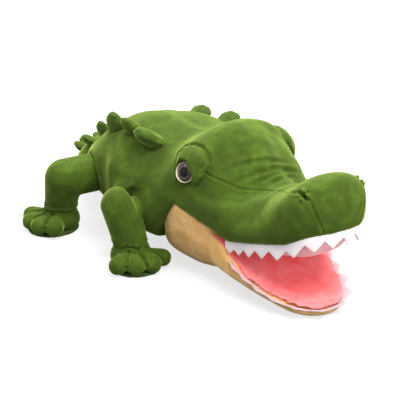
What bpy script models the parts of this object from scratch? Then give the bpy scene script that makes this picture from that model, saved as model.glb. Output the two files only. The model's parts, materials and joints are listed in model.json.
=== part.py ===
"""A stuffed plush crocodile that stands on four feet with its mouth open.

The toy looks along +X, its left side is +Y and the floor is Z = 0. While it is built, X = 0 is the
neck seam between head and trunk. One empty then carries everything, so that the origin ends up on
the floor under the middle of the toy. Lengths are in metres, angles in degrees.
"""

import math
from collections import namedtuple

import bmesh
import bpy
from mathutils import Matrix, Vector

# Clearances between sewn pieces and at the joints, and the overrun that every cutter has
SEAM_GAP = 0.0003
JOINT_GAP = 0.0005
OVERRUN = 0.005
FLOOR_CLEARANCE = 0.0005

# Trunk
TRUNK_LENGTH = 0.200
TRUNK_HALF_WIDTH = 0.089
BACK_HEIGHT = 0.165
BELLY_SEAM_HEIGHT = 0.030
BELLY_SEAM_RISE = 0.018

# Head, with the upper jaw
HEAD_LENGTH = 0.262
HEAD_HALF_WIDTH = 0.081
CROWN_HEIGHT = 0.189
MOUTH_CORNER_SHARE = 0.458
MOUTH_CORNER_X = MOUTH_CORNER_SHARE * HEAD_LENGTH
MOUTH_CORNER_Z = 0.0745
LIP_FRONT_Z = 0.113
CHEEK_TOP_X = 0.038
CHEEK_TOP_Z = 0.091
CHEEK_BACK_Z = 0.042

# Lower jaw, which turns on a round roll at its back, and its pink lining
HINGE_SHARE = 0.4275
HINGE_X = HINGE_SHARE * HEAD_LENGTH
HINGE_Z = 0.048
HINGE_RADIUS = 0.0235
HINGE_HALF_WIDTH = 0.069
JAW_SHARE = 0.496
JAW_LENGTH = JAW_SHARE * HEAD_LENGTH
CHEEK_OVERHANG = 0.009
LINING_THICKNESS = 0.004
LINING_INSET = 0.0048

# Palate and felt teeth
PALATE_DEPTH = 0.036
PALATE_INSET = 0.0075
FELT_THICKNESS = 0.002
UPPER_TOOTH_DEPTH = 0.019
UPPER_TOOTH_ROOT = 0.0075
UPPER_TEETH_INSET = 0.0015
UPPER_TEETH_START = 0.008
LOWER_TOOTH_DEPTH = 0.015
LOWER_TOOTH_ROOT = 0.007
LOWER_TEETH_INSET = 0.003
LOWER_TEETH_LIFT_DEG = 24

# Eyes, each with a moulded ring and a washer behind, and the padded brows over them
EYE_X = 0.059
EYE_INSET = 0.0065
EYE_SEAT = HEAD_HALF_WIDTH - EYE_INSET
EYE_DROP = 0.054
EYE_Z = CROWN_HEIGHT - EYE_DROP
EYE_TURN_DEG = 12
EYE_LIFT_DEG = 10
EYE_RADIUS = 0.0095
EYE_BULGE = 0.0055
EYE_RING_RADIUS = 0.0122
EYE_RING_HEIGHT = 0.0028
SHANK_RADIUS = 0.0025
SHANK_LENGTH = 0.013
WASHER_RADIUS = 0.009
WASHER_THICKNESS = 0.0015
WASHER_DEPTH = 0.009
BROW_INSET = 0.0175
BROW_Y = HEAD_HALF_WIDTH - BROW_INSET
BROW_RISE = 0.0055
BROW_Z = EYE_Z + BROW_RISE
BROW_LENGTH = 0.050
BROW_WIDTH = 0.034
BROW_HEIGHT = 0.050

# Legs: each swings about the line across the toy through its hip
LEG_RADIUS = 0.025
ANKLE_RADIUS = 0.0205
ANKLE_HEIGHT = 0.024
FRONT_ROOT_RADIUS = 0.019
FRONT_HIP_X = -0.020
FRONT_HIP_Z = 0.076
FRONT_SEAT = 0.076
FRONT_KNEE_REACH = 0.119
FRONT_ANKLE_X = -0.011
FRONT_ANKLE_REACH = 0.110
REAR_ROOT_RADIUS = 0.025
REAR_HIP_X = -0.150
REAR_HIP_Z = 0.073
REAR_SEAT = 0.070
REAR_KNEE_REACH = 0.126
REAR_ANKLE_X = -0.166
REAR_ANKLE_REACH = 0.125

# Feet
TOE_COUNT = 4
TOE_RADIUS = 0.0115
TOE_REACH = 0.040
TOE_SPREAD_DEG = 32
FOOT_PAD_RADIUS = 0.026
FOOT_PAD_HALF_HEIGHT = 0.020
SOLE_THICKNESS = 0.003
SOLE_REACH = 0.045
SOLE_HEEL = 0.024
FRONT_FOOT_TURN_DEG = 8
REAR_FOOT_TURN_DEG = 88

# Tail: straight behind the trunk, then curling to the toy's left
TAIL_ROOT_X = -0.193
TAIL_ROOT_Z = 0.064
TAIL_ROOT_RADIUS = 0.054
TAIL_ROOT_HALF_HEIGHT = 0.040
TAIL_LENGTH = 0.286
TAIL_HALF_WIDTH = 0.048
TAIL_HALF_HEIGHT = 0.040
TAIL_STRAIGHT = 0.035
TAIL_CURL_RADIUS = 0.133

# Spines sewn in two rows along the back and the tail
SPINE_LENGTH = 0.040
SPINE_HEIGHT = 0.021
SPINE_THICKNESS = 0.017
SPINE_ROOT_DEPTH = 0.010
RIGHT_SPINE_LEANS_DEG = (18, 4, -20, -8)
LEFT_SPINE_LEANS_DEG = (12, 8, -12)
TAIL_SPINE_LEAN_DEG = 12

# Outlines. Each row starts with the place along the piece.
# Trunk: half width, top and underside
TRUNK_SHARES = (
    (0.00, 0.890, 0.950, 0.080),
    (0.07, 0.935, 0.965, 0.075),
    (0.18, 0.980, 0.982, 0.073),
    (0.37, 1.000, 1.000, 0.080),
    (0.55, 0.990, 0.958, 0.097),
    (0.70, 0.955, 0.880, 0.127),
    (0.80, 0.890, 0.806, 0.145),
    (0.90, 0.780, 0.725, 0.148),
    (1.00, 0.670, 0.665, 0.130),
)
# Head: half width, top, the underside that the section would have with the mouth filled, and how
# square the section is
HEAD_SHARES = (
    (0.000, 0.975, 0.825, 0.070, 2.30),
    (0.070, 0.985, 0.875, 0.065, 2.30),
    (0.170, 0.985, 0.960, 0.062, 2.25),
    (0.290, 0.965, 1.000, 0.065, 2.15),
    (0.400, 0.925, 0.932, 0.110, 1.90),
    (0.490, 0.885, 0.805, 0.180, 1.72),
    (0.570, 0.845, 0.732, 0.260, 1.70),
    (0.660, 0.800, 0.732, 0.300, 1.75),
    (0.750, 0.750, 0.795, 0.335, 1.95),
    (0.840, 0.690, 0.885, 0.385, 2.15),
    (0.915, 0.610, 0.915, 0.440, 2.25),
    (0.960, 0.490, 0.890, 0.490, 2.30),
    (0.988, 0.320, 0.820, 0.560, 2.30),
    (1.000, 0.120, 0.740, 0.640, 2.30),
)
# Throat: half width as a share of the head's at their seam, underside as a share of the hinge's height
THROAT_SHARES = (
    (0.00, 1.00, 0.20),
    (0.30, 1.00, 0.06),
    (0.60, 0.99, 0.08),
    (0.85, 0.98, 0.20),
    (1.00, 0.97, 0.30),
)
# Lower jaw: half width, top and underside as shares of the hinge's height, how far up it is widest,
# and how square it is below there
JAW_SHARES = (
    (0.000, 1.00, 1.490, 0.510, 0.50, 5.0),
    (0.123, 0.99, 1.208, 0.438, 0.52, 4.6),
    (0.246, 0.95, 0.927, 0.310, 0.58, 3.8),
    (0.385, 0.88, 0.688, 0.200, 0.66, 3.0),
    (0.523, 0.81, 0.525, 0.094, 0.72, 2.5),
    (0.660, 0.73, 0.400, 0.030, 0.74, 2.3),
    (0.800, 0.59, 0.280, 0.010, 0.72, 2.2),
    (0.900, 0.44, 0.220, 0.010, 0.70, 2.2),
    (0.965, 0.27, 0.190, 0.030, 0.68, 2.2),
    (1.000, 0.10, 0.165, 0.080, 0.66, 2.2),
)
# Palate: how deep it hangs
PALATE_SHARES = (
    (0.00, 0.06),
    (0.14, 0.32),
    (0.30, 0.64),
    (0.46, 0.88),
    (0.68, 1.00),
    (0.86, 0.96),
    (0.96, 0.66),
    (1.00, 0.25),
)
# Tail: half width, half height, and the height of its underside as a share of its root's height
TAIL_SHARES = (
    (0.00, 0.90, 0.80, 0.550),
    (0.13, 1.00, 0.88, 0.400),
    (0.29, 0.85, 0.74, 0.094),
    (0.44, 0.69, 0.65, 0.012),
    (0.58, 0.54, 0.56, 0.010),
    (0.75, 0.38, 0.44, 0.010),
    (0.91, 0.22, 0.28, 0.010),
    (1.00, 0.07, 0.08, 0.040),
)
# Spine: place up it, and how much of its length and thickness is left there
SPINE_SHARES = ((0.00, 1.00), (0.35, 1.00), (0.65, 0.93), (0.88, 0.72), (1.00, 0.38))
# How much of the length of the head, jaw and tail the palate, lining, teeth and tail panel cover
PALATE_SPAN_SHARES = (0.48, 0.93)
LINING_SPAN_SHARES = (0.12, 0.94)
LOWER_TEETH_START_SHARE = 0.20
TAIL_PANEL_START_SHARE = 0.20
# The seam of that panel, as a share of the tail's half height over its middle
TAIL_PANEL_SEAM_SHARE = -0.44
# Spines: place along the back or tail, and size. The two rows on the back are sewn by eye, so their
# spines aren't level with each other.
RIGHT_SPINE_SHARES = ((0.19, 1.10), (0.395, 0.90), (0.615, 0.92), (0.83, 0.75))
LEFT_SPINE_SHARES = ((0.27, 0.90), (0.585, 0.82), (0.86, 0.72))
TAIL_SPINE_SHARES = ((0.135, 0.66), (0.29, 0.62), (0.44, 0.56), (0.57, 0.50), (0.70, 0.42))
BACK_ROW_SHARE = 0.70
TAIL_ROW_SHARE = 0.78
TOE_SEAT_SHARE = 0.90
TOE_ROOT_SHARE = 0.75
FOOT_PAD_SEAT_SHARE = 0.60
# Teeth are smaller at the corners of the mouth and grow tooth by tooth towards its front. Their
# height changes less than their width.
TOOTH_START_SHARE = 0.60
TOOTH_GROWTH_SHARE = 0.10
TOOTH_HEIGHT_POWER = 0.5
# How far up a section the seam of a panel can be, as a share of half its height
SEAM_LIMIT_SHARE = 0.985

# How square a section is: 2 is an ellipse
TRUNK_FULLNESS = 2.3
JAW_FULLNESS = 5
PAD_FULLNESS = 3
TAIL_FULLNESS = 2.1
ROUND = 2

# How much closer together the sections are at a piece's far end than at its start
HEAD_CROWDING = 1.6
JAW_CROWDING = 1.4
TAIL_CROWDING = 1.15

# Mesh density: points round a section, and sections along a piece
SECTION_POINTS = 24
PANEL_POINTS = 14
BAR_SIDES = 20
EYE_SIDES = 16
TAIL_ROOT_SIDES = 28
BALL_ROWS = 10
TRUNK_STEPS = 12
HEAD_STEPS = 22
THROAT_STEPS = 8
JAW_STEPS = 14
TAIL_STEPS = 18
SHANK_STEPS = 3
DOME_STEPS = 4
ROLL_ROWS = 14
SOLE_SIDES = 24
SPINE_STEPS = 4
SPINE_SIDES = 10
TOE_SIDES = 8
TOE_ROWS = 3
OUTLINE_STEPS = 120
UPPER_TEETH = 16
LOWER_TEETH = 12
SHARP_DEG = 45

# Colours: linear red, green and blue, then roughness
GREEN_PLUSH = (0.105, 0.255, 0.038, 0.95)
DARK_GREEN_PLUSH = (0.040, 0.110, 0.018, 0.95)
TAN_PLUSH = (0.620, 0.420, 0.190, 0.95)
PINK_PLUSH = (1.000, 0.165, 0.170, 0.90)
PALE_PINK_PLUSH = (0.920, 0.450, 0.480, 0.90)
WHITE_FELT = (0.860, 0.860, 0.890, 1.00)
CREAM_PLASTIC = (0.800, 0.690, 0.470, 0.40)
DARK_GLAZE = (0.020, 0.014, 0.012, 0.08)
CLEAR_NYLON = (0.700, 0.700, 0.680, 0.50)

SIDES = (("right", -1), ("left", 1))
Leg = namedtuple("Leg", "root_radius hip_x hip_z seat knee_reach ankle_x ankle_reach foot_turn")
LEGS = {
    "front": Leg(
        FRONT_ROOT_RADIUS,
        FRONT_HIP_X,
        FRONT_HIP_Z,
        FRONT_SEAT,
        FRONT_KNEE_REACH,
        FRONT_ANKLE_X,
        FRONT_ANKLE_REACH,
        FRONT_FOOT_TURN_DEG,
    ),
    "rear": Leg(
        REAR_ROOT_RADIUS,
        REAR_HIP_X,
        REAR_HIP_Z,
        REAR_SEAT,
        REAR_KNEE_REACH,
        REAR_ANKLE_X,
        REAR_ANKLE_REACH,
        REAR_FOOT_TURN_DEG,
    ),
}




# Sections and outlines


def steepness(low, high, column):
    return (high[column] - low[column]) / (high[0] - low[0])


def smooth_row(table, place):
    """One row of a table of shares at any place along it, on a smooth curve through its rows."""
    last = len(table) - 2
    k = next((i for i in range(last) if place < table[i + 1][0]), last)
    before, start, end, after = (table[min(max(i, 0), last + 1)] for i in range(k - 1, k + 3))
    span = end[0] - start[0]
    t = min(max((place - start[0]) / span, 0), 1)
    row = [place]
    for column in range(1, len(start)):
        rise_in = steepness(before, end, column) * span
        rise_out = steepness(start, after, column) * span
        from_start = (2 * t**3 - 3 * t**2 + 1) * start[column] + (t**3 - 2 * t**2 + t) * rise_in
        to_end = (3 * t**2 - 2 * t**3) * end[column] + (t**3 - t**2) * rise_out
        row.append(from_start + to_end)
    return row


def stations(start, end, steps, corners=(), crowding=1):
    """Places from start to end, closer together towards the end, with the nearest moved to each corner."""
    places = [start + (end - start) * (1 - (1 - i / steps) ** crowding) for i in range(steps + 1)]
    for corner in corners:
        nearest = min(range(1, steps), key=lambda i: abs(places[i] - corner))
        places[nearest] = corner
    return places


class Section:
    """A rounded cross section, a superellipse, in (sideways, up) coordinates."""

    def __init__(self, half_width, top, bottom, fullness):
        self.half_width = half_width
        self.middle = (top + bottom) / 2
        self.half_height = (top - bottom) / 2
        self.fullness = fullness

    def grown(self, by):
        top = self.middle + self.half_height + by
        bottom = self.middle - self.half_height - by
        return Section(self.half_width + by, top, bottom, self.fullness)

    def beside(self, share):
        """How far out the surface is along one half axis, at a share of the other."""
        return (1 - min(abs(share), 1) ** self.fullness) ** (1 / self.fullness)

    def width_at(self, height):
        return self.half_width * self.beside((height - self.middle) / self.half_height)

    def top_at(self, sideways):
        return self.middle + self.half_height * self.beside(sideways / self.half_width)

    def slant_at(self, sideways):
        """The outward direction of the upper surface, as (sideways, up)."""
        across = abs(sideways) / self.half_width
        power = self.fullness - 1
        upward = self.beside(across) ** power / self.half_height
        return Vector((math.copysign(across**power / self.half_width, sideways), upward)).normalized()

    def arc(self, first, last, count):
        """Points from one ring angle to another, both ends included."""
        points = []
        for i in range(count):
            turn = first + (last - first) * i / (count - 1)
            cosine, sine = math.cos(turn), math.sin(turn)
            sideways = self.half_width * math.copysign(abs(cosine) ** (2 / self.fullness), cosine)
            rise = self.half_height * math.copysign(abs(sine) ** (2 / self.fullness), sine)
            points.append((sideways, self.middle + rise))
        return points

    def angle_at(self, height):
        """The ring angle at which the surface passes a height."""
        share = min(max((height - self.middle) / self.half_height, -SEAM_LIMIT_SHARE), SEAM_LIMIT_SHARE)
        return math.copysign(math.asin(abs(share) ** (self.fullness / 2)), share)

    def whole(self, count=SECTION_POINTS):
        margin = math.pi / count
        return self.arc(margin - math.pi / 2, 3 * math.pi / 2 - margin, count)

    def above(self, height, count=SECTION_POINTS):
        low = self.angle_at(height)
        return self.arc(low, math.pi - low, count)

    def below(self, height, count=PANEL_POINTS):
        high = self.angle_at(height)
        return self.arc(2 * math.pi + high, math.pi - high, count)


def trunk_section(share, grow=0):
    _, width, top, bottom = smooth_row(TRUNK_SHARES, share)
    return Section(
        width * TRUNK_HALF_WIDTH, top * BACK_HEIGHT, bottom * BACK_HEIGHT, TRUNK_FULLNESS
    ).grown(grow)


def head_section(x, grow=0):
    _, width, top, bottom, fullness = smooth_row(HEAD_SHARES, x / HEAD_LENGTH)
    return Section(width * HEAD_HALF_WIDTH, top * CROWN_HEIGHT, bottom * CROWN_HEIGHT, fullness).grown(grow)


def jaw_halves(x):
    """The sections of the jaw's upper and lower half, which meet where it is widest."""
    _, width, top, bottom, widest, fullness = smooth_row(JAW_SHARES, (x - HINGE_X) / JAW_LENGTH)
    half_width, rim = width * HINGE_HALF_WIDTH, top * HINGE_Z
    underside = max(bottom * HINGE_Z, FLOOR_CLEARANCE)
    middle = underside + widest * (rim - underside)
    upper = Section(half_width, rim, 2 * middle - rim, JAW_FULLNESS)
    return upper, Section(half_width, 2 * middle - underside, underside, fullness)


def jaw_section(x):
    return jaw_halves(x)[0]


def jaw_ring(x):
    upper, lower = jaw_halves(x)
    pairs = zip(upper.whole(), lower.whole())
    return across_at(x, [high if high[1] > upper.middle else low for high, low in pairs])


def tail_section(share, grow=0):
    _, width, height, underside = smooth_row(TAIL_SHARES, share)
    bottom = max(underside * TAIL_ROOT_Z, FLOOR_CLEARANCE)
    top = bottom + 2 * height * TAIL_HALF_HEIGHT
    return Section(width * TAIL_HALF_WIDTH, top, bottom, TAIL_FULLNESS).grown(grow)


def mouth_line(x):
    """Height of the seam under the head: up the back of the cheek, down to the corner, up the lip."""
    outline = (
        (0, CHEEK_BACK_Z),
        (CHEEK_TOP_X, CHEEK_TOP_Z),
        (MOUTH_CORNER_X, MOUTH_CORNER_Z),
        (HEAD_LENGTH, LIP_FRONT_Z),
    )
    for (x0, z0), (x1, z1) in zip(outline, outline[1:]):
        if x < x1:
            return z0 + (z1 - z0) * (x - x0) / (x1 - x0)
    return LIP_FRONT_Z


def lip_half_width(x):
    return head_section(x).width_at(mouth_line(x))


def belly_seam(share):
    return BELLY_SEAM_HEIGHT + BELLY_SEAM_RISE * share**2


def tail_frame(share):
    """The tail's middle line at a share of its length: place, heading and the direction across it."""
    run = share * TAIL_LENGTH
    bend = max(run - TAIL_STRAIGHT, 0) / TAIL_CURL_RADIUS
    straight = min(run, TAIL_STRAIGHT)
    x = TAIL_ROOT_X - straight - TAIL_CURL_RADIUS * math.sin(bend)
    y = TAIL_CURL_RADIUS * (1 - math.cos(bend))
    heading = Vector((-math.cos(bend), math.sin(bend), 0))
    across = Vector((math.sin(bend), math.cos(bend), 0))
    return Vector((x, y, 0)), heading, across


# Objects and meshes


def clear_scene():
    for item in list(bpy.data.objects):
        bpy.data.objects.remove(item, do_unlink=True)


def finish(name, colour_and_roughness):
    """A Principled material for one object."""
    *colour, roughness = colour_and_roughness
    material = bpy.data.materials.new(name)
    material.use_nodes = True
    shader = material.node_tree.nodes["Principled BSDF"]
    shader.inputs["Base Color"].default_value = (*colour, 1)
    shader.inputs["Roughness"].default_value = roughness
    shader.inputs["Metallic"].default_value = 0
    material.diffuse_color = (*colour, 1)
    return material


def place(name, data, carrier, colour=None):
    """An object whose mesh is in the toy's own frame, under the empty of its joint or of the toy."""
    item = bpy.data.objects.new(name, data)
    bpy.context.scene.collection.objects.link(item)
    item.parent = carrier
    if carrier.parent:
        item.location = -carrier.location
    if colour:
        data.materials.append(finish(name, colour))
    else:
        item.hide_render = True
        item.display_type = "WIRE"
    return item


def piece(name, mesh, carrier, colour=None):
    """Turns a bmesh into an object. Without a colour it is a helper that cuts or joins."""
    bmesh.ops.recalc_face_normals(mesh, faces=mesh.faces)
    if mesh.calc_volume(signed=True) < 0:
        bmesh.ops.reverse_faces(mesh, faces=mesh.faces)
    data = bpy.data.meshes.new(name)
    mesh.to_mesh(data)
    mesh.free()
    data.shade_smooth()
    data.set_sharp_from_angle(angle=math.radians(SHARP_DEG))
    return place(name, data, carrier, colour)


def empty(name, location=(0, 0, 0), root=None):
    """The empty that carries the toy, or one on the axis of a joint."""
    item = bpy.data.objects.new(name, None)
    bpy.context.scene.collection.objects.link(item)
    item.parent = root
    item.location = location
    return item


def lofted(name, rings, carrier, colour=None):
    """A closed skin over rings of points, with a cap at each end.

    The strip between the last point and the first is often a seam with another piece, so its two
    triangles always lie the same way.
    """
    mesh = bmesh.new()
    loops = [[mesh.verts.new(point) for point in ring] for ring in rings]
    for near, far in zip(loops, loops[1:]):
        mesh.faces.new((near[-1], near[0], far[0]))
        mesh.faces.new((near[-1], far[0], far[-1]))
        for i in range(1, len(near)):
            mesh.faces.new((near[i - 1], near[i], far[i], far[i - 1]))
    mesh.faces.new(loops[0])
    mesh.faces.new(reversed(loops[-1]))
    return piece(name, mesh, carrier, colour)


def across_at(x, points):
    """A ring of (sideways, up) points at one place along the toy."""
    return [Vector((x, sideways, up)) for sideways, up in points]


def combine(item, helper, operation):
    modifier = item.modifiers.new(f"{operation.lower()} {helper.name}", "BOOLEAN")
    modifier.operation = operation
    modifier.object = helper


def cut(item, helper):
    combine(item, helper, "DIFFERENCE")


def join(item, helper):
    combine(item, helper, "UNION")


def bar(name, start, end, radius, carrier, colour=None, sides=BAR_SIDES):
    """A round bar between two points."""
    start, end = Vector(start), Vector(end)
    mesh = bmesh.new()
    bmesh.ops.create_cone(
        mesh,
        cap_ends=True,
        segments=sides,
        radius1=radius,
        radius2=radius,
        depth=(end - start).length,
    )
    turn = Vector((0, 0, 1)).rotation_difference(end - start).to_matrix().to_4x4()
    bmesh.ops.transform(mesh, matrix=Matrix.Translation((start + end) / 2) @ turn, verts=mesh.verts)
    return piece(name, mesh, carrier, colour)


def ball(name, centre, radii, carrier, sides=BAR_SIDES, colour=None):
    """A ball stretched to three radii."""
    mesh = bmesh.new()
    bmesh.ops.create_uvsphere(mesh, u_segments=sides, v_segments=BALL_ROWS, radius=1)
    bmesh.ops.scale(mesh, vec=radii, verts=mesh.verts)
    bmesh.ops.translate(mesh, vec=centre, verts=mesh.verts)
    return piece(name, mesh, carrier, colour)


def block(name, low, high, carrier):
    """A box between two corners."""
    low, high = Vector(low), Vector(high)
    mesh = bmesh.new()
    bmesh.ops.create_cube(mesh, size=1)
    bmesh.ops.scale(mesh, vec=high - low, verts=mesh.verts)
    bmesh.ops.translate(mesh, vec=(low + high) / 2, verts=mesh.verts)
    return piece(name, mesh, carrier)


def turned(name, profile, seat, out, carrier, colour, closed=False):
    """Spins a profile of (radius, height over the seat) about the direction out of the seat."""
    mesh = bmesh.new()
    points = [mesh.verts.new((radius, 0, height)) for radius, height in profile]
    pairs = list(zip(points, points[1:]))
    if closed:
        pairs.append((points[-1], points[0]))
    edges = [mesh.edges.new(pair) for pair in pairs]
    bmesh.ops.spin(
        mesh,
        geom=points + edges,
        axis=(0, 0, 1),
        cent=(0, 0, 0),
        angle=2 * math.pi,
        steps=EYE_SIDES,
        use_merge=True,
    )
    bmesh.ops.remove_doubles(mesh, verts=mesh.verts, dist=SEAM_GAP / EYE_SIDES)
    turn = Vector((0, 0, 1)).rotation_difference(out).to_matrix().to_4x4()
    bmesh.ops.transform(mesh, matrix=Matrix.Translation(seat) @ turn, verts=mesh.verts)
    return piece(name, mesh, carrier, colour)


# Trunk, belly and the spines of the back


def trunk_rings(grow, ring_of):
    """Rings from the neck to the tail. ring_of takes a section and the height of the belly seam."""
    shares = stations(0, 1, TRUNK_STEPS)
    return [across_at(-s * TRUNK_LENGTH, ring_of(trunk_section(s, grow), belly_seam(s))) for s in shares]


def make_trunk(root):
    trunk = lofted("trunk", trunk_rings(0, lambda s, seam: s.above(seam + SEAM_GAP / 2)), root, GREEN_PLUSH)
    belly = lofted("belly", trunk_rings(0, lambda s, seam: s.below(seam - SEAM_GAP / 2)), root, TAN_PLUSH)
    for end, leg in LEGS.items():
        for side, sign in SIDES:
            inner = (leg.hip_x, sign * leg.seat, leg.hip_z)
            outer = (leg.hip_x, sign * (TRUNK_HALF_WIDTH + OVERRUN), leg.hip_z)
            cut(trunk, bar(f"{end}_{side}_hip_cutter", inner, outer, leg.root_radius + JOINT_GAP, root))
    socket = tail_root("tail_socket_cutter", root, JOINT_GAP)
    cut(trunk, socket)
    cut(belly, socket)


def make_back_spines(root):
    form = lofted("back_form_cutter", trunk_rings(SEAM_GAP, Section.above), root)
    rows = (RIGHT_SPINE_SHARES, RIGHT_SPINE_LEANS_DEG), (LEFT_SPINE_SHARES, LEFT_SPINE_LEANS_DEG)
    for (side, sign), (shares, leans) in zip(SIDES, rows):
        for number, ((share, size), lean) in enumerate(zip(shares, leans), 1):
            section = trunk_section(share)
            sideways = sign * BACK_ROW_SHARE * section.half_width
            base = Vector((-share * TRUNK_LENGTH, sideways, section.top_at(sideways)))
            out, rise = leaning(section.slant_at(sideways), lean)
            up = Vector((0, out, rise))
            spine = make_spine(f"back_spine_{side}_{number}", base, up, Vector((1, 0, 0)), size, root)
            cut(spine, form)


def leaning(slant, lean):
    """A direction out of the skin, as (sideways, up), leant outwards by an angle."""
    angle = math.atan2(slant.x, slant.y) + math.copysign(1, slant.x) * math.radians(lean)
    return math.sin(angle), math.cos(angle)


def make_spine(name, base, up, along, size, carrier):
    """A flat stuffed tab with a round end, its root sunk under the skin for the cut there."""
    aside = up.cross(along)
    rings = []
    for climb in stations(0, 1, SPINE_STEPS):
        _, left = smooth_row(SPINE_SHARES, climb)
        rise = climb * (SPINE_HEIGHT * size + SPINE_ROOT_DEPTH) - SPINE_ROOT_DEPTH
        half_length, half_thickness = SPINE_LENGTH * size * left / 2, SPINE_THICKNESS * size * left / 2
        outline = Section(half_length, half_thickness, -half_thickness, ROUND).whole(SPINE_SIDES)
        rings.append([base + up * rise + along * u + aside * v for u, v in outline])
    return lofted(name, rings, carrier, GREEN_PLUSH)


# Head, throat, brows and eyes


def head_places():
    corners = (CHEEK_TOP_X, MOUTH_CORNER_X)
    return stations(SEAM_GAP, HEAD_LENGTH, HEAD_STEPS, corners, HEAD_CROWDING)


def head_rings(grow=0):
    return [across_at(x, head_section(x, grow).above(mouth_line(x))) for x in head_places()]


def throat_rings():
    """The throat is as wide as the head where they are sewn together, and rounder below."""
    front = HINGE_X - CHEEK_OVERHANG
    rings = []
    for x in stations(SEAM_GAP, front, THROAT_STEPS, (CHEEK_TOP_X,)):
        _, width, underside = smooth_row(THROAT_SHARES, x / front)
        seam = mouth_line(x) - SEAM_GAP
        bottom = underside * HINGE_Z
        section = Section(width * lip_half_width(x), 2 * seam - bottom, bottom, PAD_FULLNESS)
        rings.append(across_at(x, section.below(seam)))
    return rings


def make_head(root):
    head = lofted("head", head_rings(), root, GREEN_PLUSH)
    throat = lofted("throat", throat_rings(), root, TAN_PLUSH)
    cut(throat, jaw_roll("jaw_socket_cutter", root, JOINT_GAP))
    form = lofted("head_form_cutter", head_rings(JOINT_GAP), root)
    for side, sign in SIDES:
        radii = (BROW_LENGTH / 2, BROW_WIDTH / 2, BROW_HEIGHT / 2)
        brow = ball(f"brow_{side}", (EYE_X, sign * BROW_Y, BROW_Z), radii, root, colour=GREEN_PLUSH)
        make_eye(side, sign, head, brow, root)
        cut(brow, form)


def make_eye(side, sign, head, brow, root):
    """A domed eye on a shank, its ring, and the washer that locks the shank inside the head."""
    turn, lift = math.radians(EYE_TURN_DEG), math.radians(EYE_LIFT_DEG)
    flat = math.cos(lift)
    out = Vector((math.sin(turn) * flat, sign * math.cos(turn) * flat, math.sin(lift)))
    seat = Vector((EYE_X, sign * EYE_SEAT, EYE_Z))
    mouth = seat + out * BROW_WIDTH
    recess = bar(f"eye_recess_cutter_{side}", seat, mouth, EYE_RING_RADIUS + SEAM_GAP, root)
    bore_end = seat - out * (SHANK_LENGTH + SEAM_GAP)
    bore_start = seat + out * OVERRUN
    bore = bar(f"eye_bore_cutter_{side}", bore_end, bore_start, SHANK_RADIUS + SEAM_GAP, root)
    for item in (head, brow):
        cut(item, recess)
        cut(item, bore)
    washer_top = seat - out * WASHER_DEPTH
    washer_end = washer_top - out * WASHER_THICKNESS
    pocket_ends = washer_end - out * SEAM_GAP, washer_top + out * SEAM_GAP
    cut(head, bar(f"eye_pocket_cutter_{side}", *pocket_ends, WASHER_RADIUS + SEAM_GAP, root))
    washer = bar(f"eye_washer_{side}", washer_end, washer_top, WASHER_RADIUS, root, CLEAR_NYLON)
    hole_ends = washer_end - out * OVERRUN, washer_top + out * OVERRUN
    cut(washer, bar(f"washer_hole_cutter_{side}", *hole_ends, SHANK_RADIUS + SEAM_GAP, root))
    turned(f"eye_{side}", eye_profile(), seat, out, root, DARK_GLAZE)
    turned(f"eye_ring_{side}", eye_ring_profile(), seat, out, root, CREAM_PLASTIC, closed=True)


def eye_profile():
    """(radius, height over the seat) from the end of the shank to the middle of the dome."""
    rim = EYE_RING_HEIGHT / 2
    points = [(0, -SHANK_LENGTH), (SHANK_RADIUS, -SHANK_LENGTH), (SHANK_RADIUS, SEAM_GAP)]
    points += [(EYE_RADIUS, SEAM_GAP), (EYE_RADIUS, rim)]
    for step in range(1, DOME_STEPS):
        turn = math.pi / 2 * step / DOME_STEPS
        points.append((EYE_RADIUS * math.cos(turn), rim + EYE_BULGE * math.sin(turn)))
    return points + [(0, rim + EYE_BULGE)]


def eye_ring_profile():
    """A bead with a half-round top, round the eye."""
    inner, outer = EYE_RADIUS + SEAM_GAP, EYE_RING_RADIUS
    middle, half = (inner + outer) / 2, (outer - inner) / 2
    shoulder = EYE_RING_HEIGHT - half
    points = [(inner, SEAM_GAP), (outer, SEAM_GAP)]
    for step in range(DOME_STEPS + 1):
        turn = math.pi * step / DOME_STEPS
        points.append((middle + half * math.cos(turn), shoulder + half * math.sin(turn)))
    return points


# Mouth


def jaw_roll(name, carrier, grow=0):
    """The round back of the lower jaw, a surface turned about the jaw's own axis."""
    profile = Section(HINGE_HALF_WIDTH, HINGE_RADIUS, -HINGE_RADIUS, JAW_FULLNESS).grown(grow)
    end = math.pi / 2 / ROLL_ROWS
    turns = [2 * math.pi * i / BAR_SIDES for i in range(BAR_SIDES)]
    rings = []
    for sideways, radius in profile.arc(end, math.pi - end, ROLL_ROWS):
        around = [(HINGE_X + radius * math.cos(t), HINGE_Z + radius * math.sin(t)) for t in turns]
        rings.append([Vector((x, sideways, z)) for x, z in around])
    return lofted(name, rings, carrier)


def make_jaw(hinge):
    shares = stations(0, 1, JAW_STEPS, crowding=JAW_CROWDING)
    rings = [jaw_ring(HINGE_X + share * JAW_LENGTH) for share in shares]
    jaw = lofted("lower_jaw", rings, hinge, TAN_PLUSH)
    join(jaw, jaw_roll("jaw_roll", hinge))
    first, last = LINING_SPAN_SHARES
    rings = []
    for share in shares:
        if first < share < last:
            x = HINGE_X + share * JAW_LENGTH
            bed = jaw_section(x).top_at(0)
            half = max(jaw_section(x + LINING_INSET).half_width - LINING_INSET, LINING_THICKNESS)
            section = Section(half, bed + LINING_THICKNESS, bed + SEAM_GAP, PAD_FULLNESS)
            rings.append(across_at(x, section.whole(PANEL_POINTS)))
    lining = lofted("jaw_lining", rings, hinge, PINK_PLUSH)
    cut(lining, jaw_roll("lining_cutter", hinge, SEAM_GAP))
    make_lower_teeth(hinge)


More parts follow.
